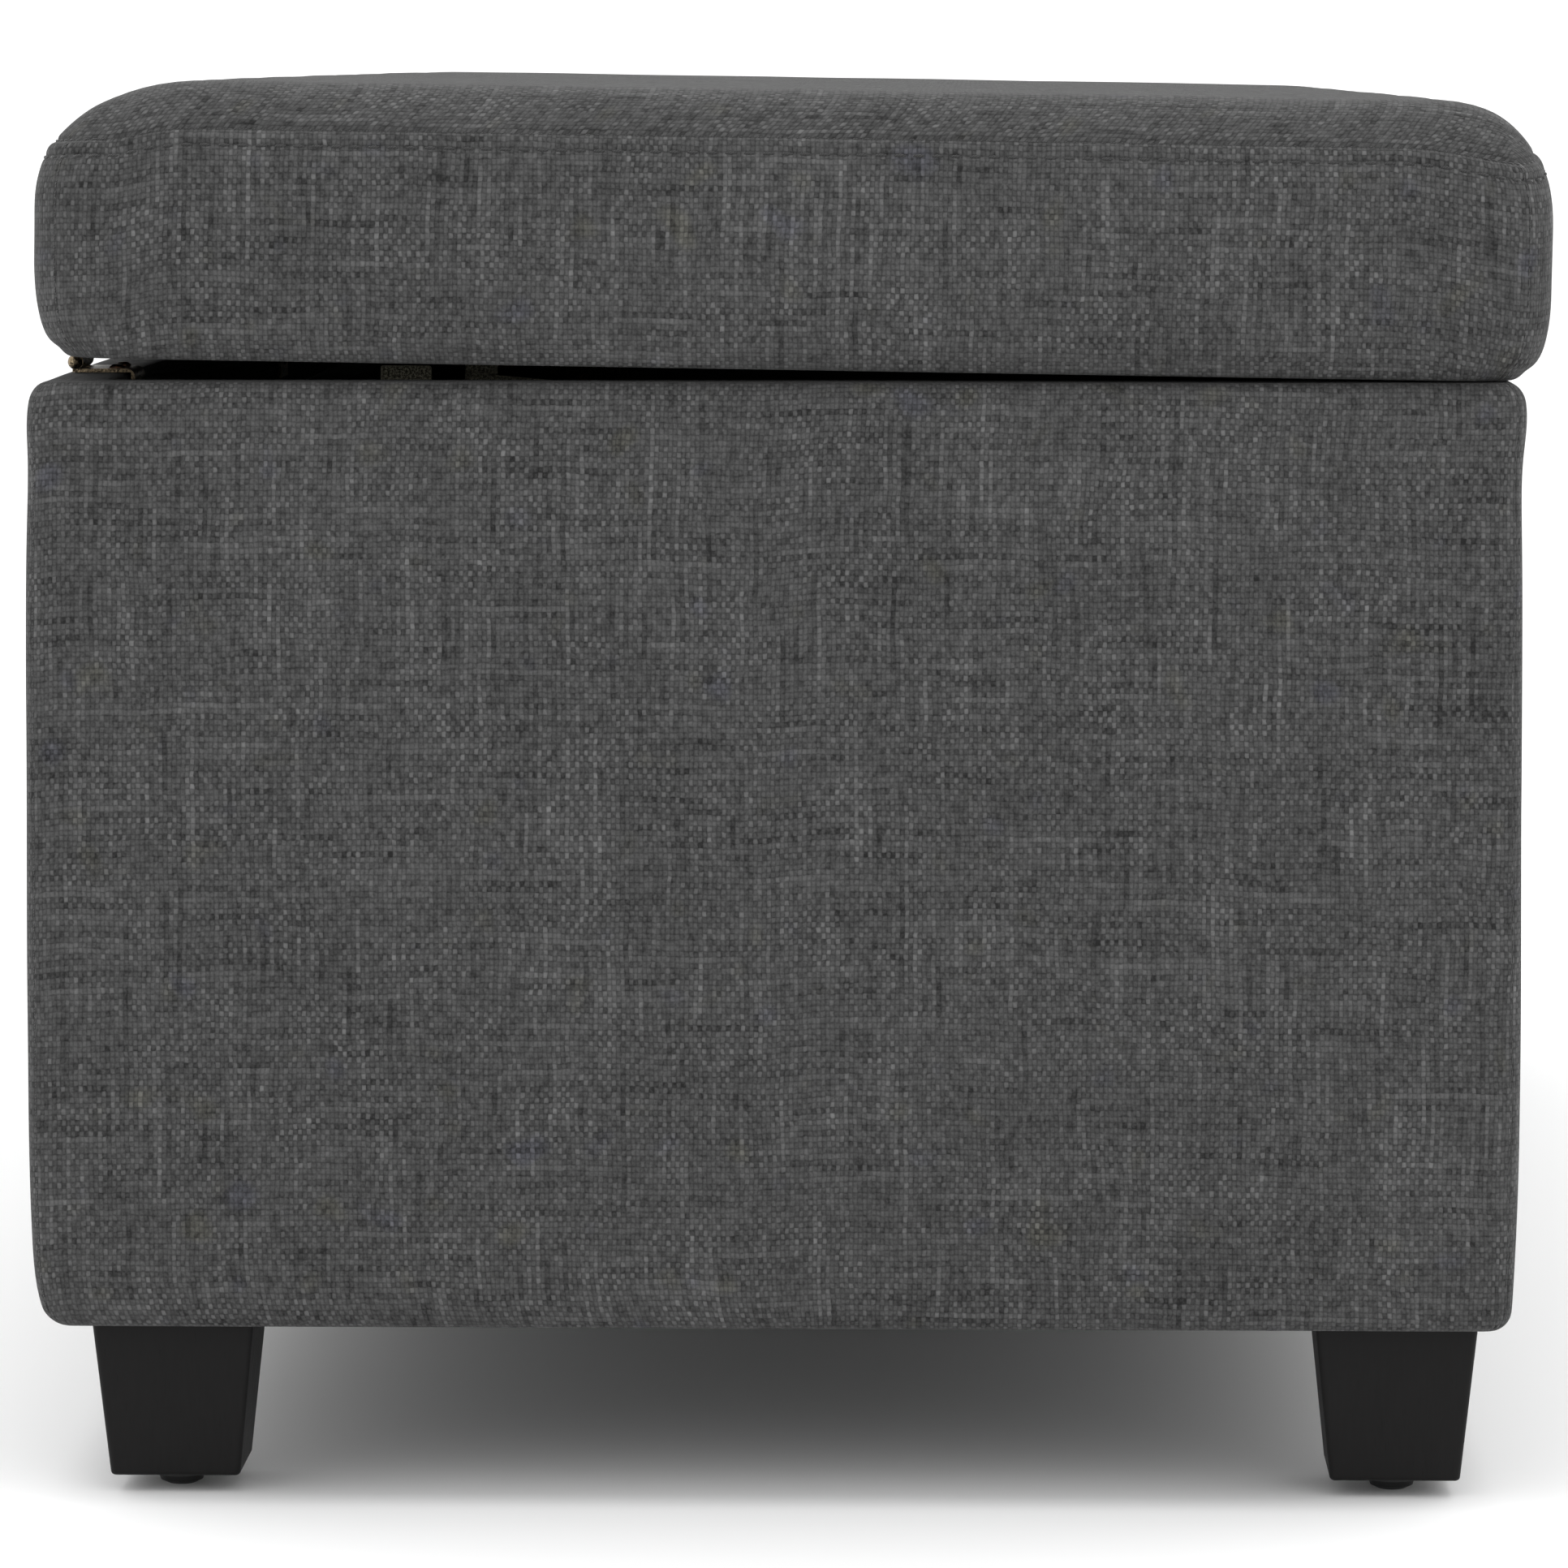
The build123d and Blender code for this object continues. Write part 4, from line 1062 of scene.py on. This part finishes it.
def plan_sheet(name, x0, x1, y0, y1, low, thick, rise, step=12 * MM):
    """A thin rectangular cloth. Its underside is at low plus the rise at each place."""
    xs = [x0] + even(x0, x1, step) + [x1]
    ys = [y0] + even(y0, y1, step) + [y1]
    plan = np.array([[(x, y) for y in ys] for x in xs])
    lift = rise(plan[:, :, 0], plan[:, :, 1])
    rows, cols = plan.shape[:2]
    count = rows * cols
    under = np.concatenate([plan, (low + lift)[:, :, None]], 2).reshape(-1, 3)
    over = under + np.array([0, 0, thick])
    faces = []
    for i in range(rows - 1):
        for j in range(cols - 1):
            a, b = i * cols + j, (i + 1) * cols + j
            c, d = b + 1, a + 1
            faces += [(a, d, c, b), (count + a, count + b, count + c, count + d)]
    rim = [i * cols for i in range(rows)] + [(rows - 1) * cols + j for j in range(1, cols)]
    rim += [i * cols + cols - 1 for i in range(rows - 2, -1, -1)] + list(range(cols - 2, 0, -1))
    for a, b in zip(rim, rim[1:] + rim[:1]):
        faces.append((a, b, count + b, count + a))
    verts = np.vstack([under, over])
    obj = new_object(name, verts, faces)
    set_uv(obj, [(verts[v][0], verts[v][1]) for f in faces for v in f])
    return obj


def field(x, y, size, seed):
    """Smooth noise of about -1 to 1 over a plan."""
    flat = np.stack([x.ravel(), y.ravel(), np.zeros(x.size)], 1)
    return wobble(flat, size, seed).reshape(x.shape)


def fade(distance, reach):
    """0 at an edge, 1 from reach onwards."""
    t = np.clip(distance / reach, 0, 1)
    return t * t * (3 - 2 * t)


def edge_distance(x, y, lo, hi):
    """How far places on a rectangle are from its nearest edge."""
    return np.minimum(np.minimum(x - lo.x, hi.x - x), np.minimum(y - lo.y, hi.y - y))


def storage_floor_cloth():
    """The lining on the storage floor, laid a little loose."""
    lo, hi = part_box("lining_floor")

    def rise(x, y):
        ripple = 0.5 + 0.5 * field(x * 0.45, y, 0.09, 21)
        return 1.6 * MM * ripple**2 * fade(edge_distance(x, y, lo, hi), 40 * MM)

    gap = 0.1 * MM
    x0, x1, y0, y1 = lo.x + gap, hi.x - gap, lo.y + gap, hi.y - gap
    obj = plan_sheet("storage_floor_lining", x0, x1, y0, y1, lo.z, 0.8 * MM, rise)
    paint(obj, "lining_cloth")
    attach(obj, "base")
    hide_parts("lining_floor")


def base_dust_cover():
    """The thin cloth under the base. It sags between its staples and is flat over the feet."""
    lo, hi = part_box("dust_cover")
    corners = ("front_left", "front_right", "back_left", "back_right")
    feet = [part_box(f"{corner}_foot") for corner in corners]
    centres = [((a.x + b.x) / 2, (a.y + b.y) / 2) for a, b in feet]

    def rise(x, y):
        loose = fade(edge_distance(x, y, lo, hi) - 14 * MM, 120 * MM)
        for cx, cy in centres:
            loose = loose * fade(np.maximum(abs(x - cx), abs(y - cy)) - 32 * MM, 90 * MM)
        return -(3.2 * MM + 0.9 * MM * field(x, y, 0.11, 31)) * loose

    obj = plan_sheet("base_dust_cover", lo.x, hi.x, lo.y, hi.y, lo.z, 0.5 * MM, rise)
    paint(obj, "nonwoven_cloth")
    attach(obj, "base")
    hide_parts("dust_cover")


def lid_under_cloth():
    """The thin cloth stapled under the lid board, inside the cover's turned-under margin."""
    half = LID_LENGTH / 2 - TURN_UNDER
    front, back = LID_BACK - LID_DEPTH + TURN_UNDER, LID_BACK - TURN_UNDER
    lo, hi = Vector((-half, front, 0)), Vector((half, back, 0))

    def rise(x, y):
        loose = fade(edge_distance(x, y, lo, hi) - 14 * MM, 60 * MM) * fade(0.535 - abs(x), 40 * MM)
        return -(0.8 * MM + 0.5 * MM * field(x, y, 0.1, 41)) * loose

    thick = 0.6 * MM
    obj = plan_sheet(
        "lid_under_cloth", -half, half, front, back, LID_BOARD_UNDER - thick, thick, rise,
    )
    lean(obj)
    paint(obj, "nonwoven_cloth")
    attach(obj, "lid")
    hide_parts("lid_underside_cloth")


def wall_lining():
    """The band of lining cloth round the inner walls, slightly loose, with a hem at its top."""
    lo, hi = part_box("lining_walls")
    half_x, half_y, mid_y = hi.x, (hi.y - lo.y) / 2, (hi.y + lo.y) / 2
    outline = Outline(half_x, half_y, 5 * MM, [math.radians(a) for a in LINING_ANGLES], 9 * MM)
    tall = hi.z - lo.z
    hem = tall - HEM
    rows = [(0.05, hi.z), (0.05, lo.z)] + [(0.8, lo.z + h * tall) for h in LINING_HEIGHTS]
    rows += [(0.8, lo.z + hem - 6 * MM), (0.8, lo.z + hem), (1.2, lo.z + hem + 0.5 * MM)]
    rows += [(1.25, lo.z + hem + 5 * MM), (1.2, hi.z - 0.5 * MM), (0.8, hi.z)]
    rings = []
    for inset, z in rows:
        ring = outline.ring(inset * MM)
        points = np.column_stack([ring[:, 0], ring[:, 1] + mid_y, np.full(len(ring), z)])
        loose = fade(z - lo.z, 30 * MM) * fade(lo.z + 0.82 * tall - z, 60 * MM)
        if inset > 0.5 and loose > 0:
            wave = 0.5 + 0.5 * wobble(points * np.array([1, 1, 0.35]), 0.075, 51)
            points[:, :2] -= outline.out * (1.3 * MM * loose * wave**1.5)[:, None]
        rings.append(points)
    faces = [tuple(reversed(f)) for f in loft(rings)]
    obj = new_object("storage_wall_lining", np.concatenate(rings), faces)
    around = ring_uv(rings)
    set_uv(obj, [uv for f in range(0, 4 * len(faces), 4) for uv in reversed(around[f:f + 4])])
    paint(obj, "lining_cloth")
    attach(obj, "base")
    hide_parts("lining_walls")
    count = len(outline.place)
    hem_row = [(len(rows) - 4) * count + i for i in range(count)]
    hem_stitches = stitch_rows(
        "lining_hem_stitches", obj, [closed(hem_row)], 4 * MM, 2.8 * MM, 0.3 * MM,
    )
    paint(hem_stitches, "lining_cloth", "thread")
    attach(hem_stitches, "base")


storage_floor_cloth()
base_dust_cover()
lid_under_cloth()
wall_lining()


# Stay springs

def tube(name, path, radius, sides=10):
    """A round wire along a path, closed at both ends."""
    path = [Vector(p) for p in path]
    verts = []
    side = None
    for i, p in enumerate(path):
        run = (path[min(i + 1, len(path) - 1)] - path[max(i - 1, 0)]).normalized()
        side = run.orthogonal() if side is None else side - run * side.dot(run)
        side.normalize()
        up = run.cross(side)
        for q in range(sides):
            a = 2 * math.pi * q / sides
            verts.append(p + radius * (side * math.cos(a) + up * math.sin(a)))
    return new_object(name, verts, rod_faces(0, len(path), sides))


def wound_spring(side):
    """The torsion spring wound round a stay's drum stud, with its leg against the bracket."""
    lo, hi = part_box(f"{side}_stay_spring")
    wire = 0.62 * MM
    centre_y, centre_z = (lo.y + hi.y) / 2, (lo.z + hi.z) / 2
    radius = (hi.y - lo.y) / 2 - wire - 0.1 * MM
    sign = math.copysign(1, lo.x)
    outer, inner = (lo.x, hi.x) if sign < 0 else (hi.x, lo.x)
    turns, steps, leg = 5.25, 140, 14 * MM
    path = [(outer - sign * (wire + 0.1 * MM), centre_y - radius, centre_z - leg)]
    for i in range(steps + 1):
        t = i / steps
        a = math.pi - 2 * math.pi * turns * t
        x = outer + (inner - outer) * (0.1 + 0.8 * t)
        path.append((x, centre_y + radius * math.cos(a), centre_z + radius * math.sin(a)))
    obj = tube(f"{side}_wound_spring", path, wire)
    paint(obj, "spring_steel")
    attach(obj, "base")
    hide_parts(f"{side}_stay_spring")


wound_spring("left")
wound_spring("right")


# Finishes of the CAD nodes that stay

for subpart in frame["record"]["subparts"]:
    node = frame["nodes"][subpart["node"]]
    if not node.hide_render:
        node.data.materials.clear()
        node.data.materials.append(MATERIALS[subpart["material_slot"]])


# Studio

def studio():
    """A pale floor that fades into a white surround, soft light from above and from the front."""
    bpy.ops.mesh.primitive_grid_add(x_subdivisions=8, y_subdivisions=8, size=30, location=(0, 0, 0))
    floor = bpy.context.object
    floor.name = "studio_floor"
    n = Nodes("pale_floor")
    n.finish(FLOOR_GREY, 0.9, Specular_IOR_Level=0.1)
    floor.data.materials.append(n.material)
    world = bpy.data.worlds.new("studio_surround")
    world.use_nodes = True
    bpy.context.scene.world = world
    back = world.node_tree.nodes["Background"]
    back.inputs[0].default_value = (1, 1, 1, 1)
    back.inputs[1].default_value = SURROUND_LEVEL
    for name, at, size, energy in LIGHTS:
        light = bpy.data.lights.new(name, "AREA")
        light.size = size
        light.energy = energy
        lamp = bpy.data.objects.new(name, light)
        lamp.location = at
        lamp.rotation_mode = "QUATERNION"
        lamp.rotation_quaternion = (Vector(at) - LIGHTS_AIM).to_track_quat("Z", "Y")
        bpy.context.scene.collection.objects.link(lamp)


def camera():
    """The camera stands at the -X end, a little above the lid, and looks along the length."""
    data = bpy.data.cameras.new("camera")
    data.lens = CAMERA_LENS
    data.sensor_width = CAMERA_SENSOR
    cam = bpy.data.objects.new("camera", data)
    bpy.context.scene.collection.objects.link(cam)
    cam.location = CAMERA_AT
    level = math.cos(CAMERA_PITCH)
    ahead = (math.cos(CAMERA_YAW) * level, math.sin(CAMERA_YAW) * level, -math.sin(CAMERA_PITCH))
    cam.rotation_mode = "QUATERNION"
    cam.rotation_quaternion = (-Vector(ahead)).to_track_quat("Z", "Y")
    data.clip_start = 0.05
    bpy.context.scene.camera = cam


studio()
camera()
bpy.context.scene.view_settings.view_transform = "Standard"
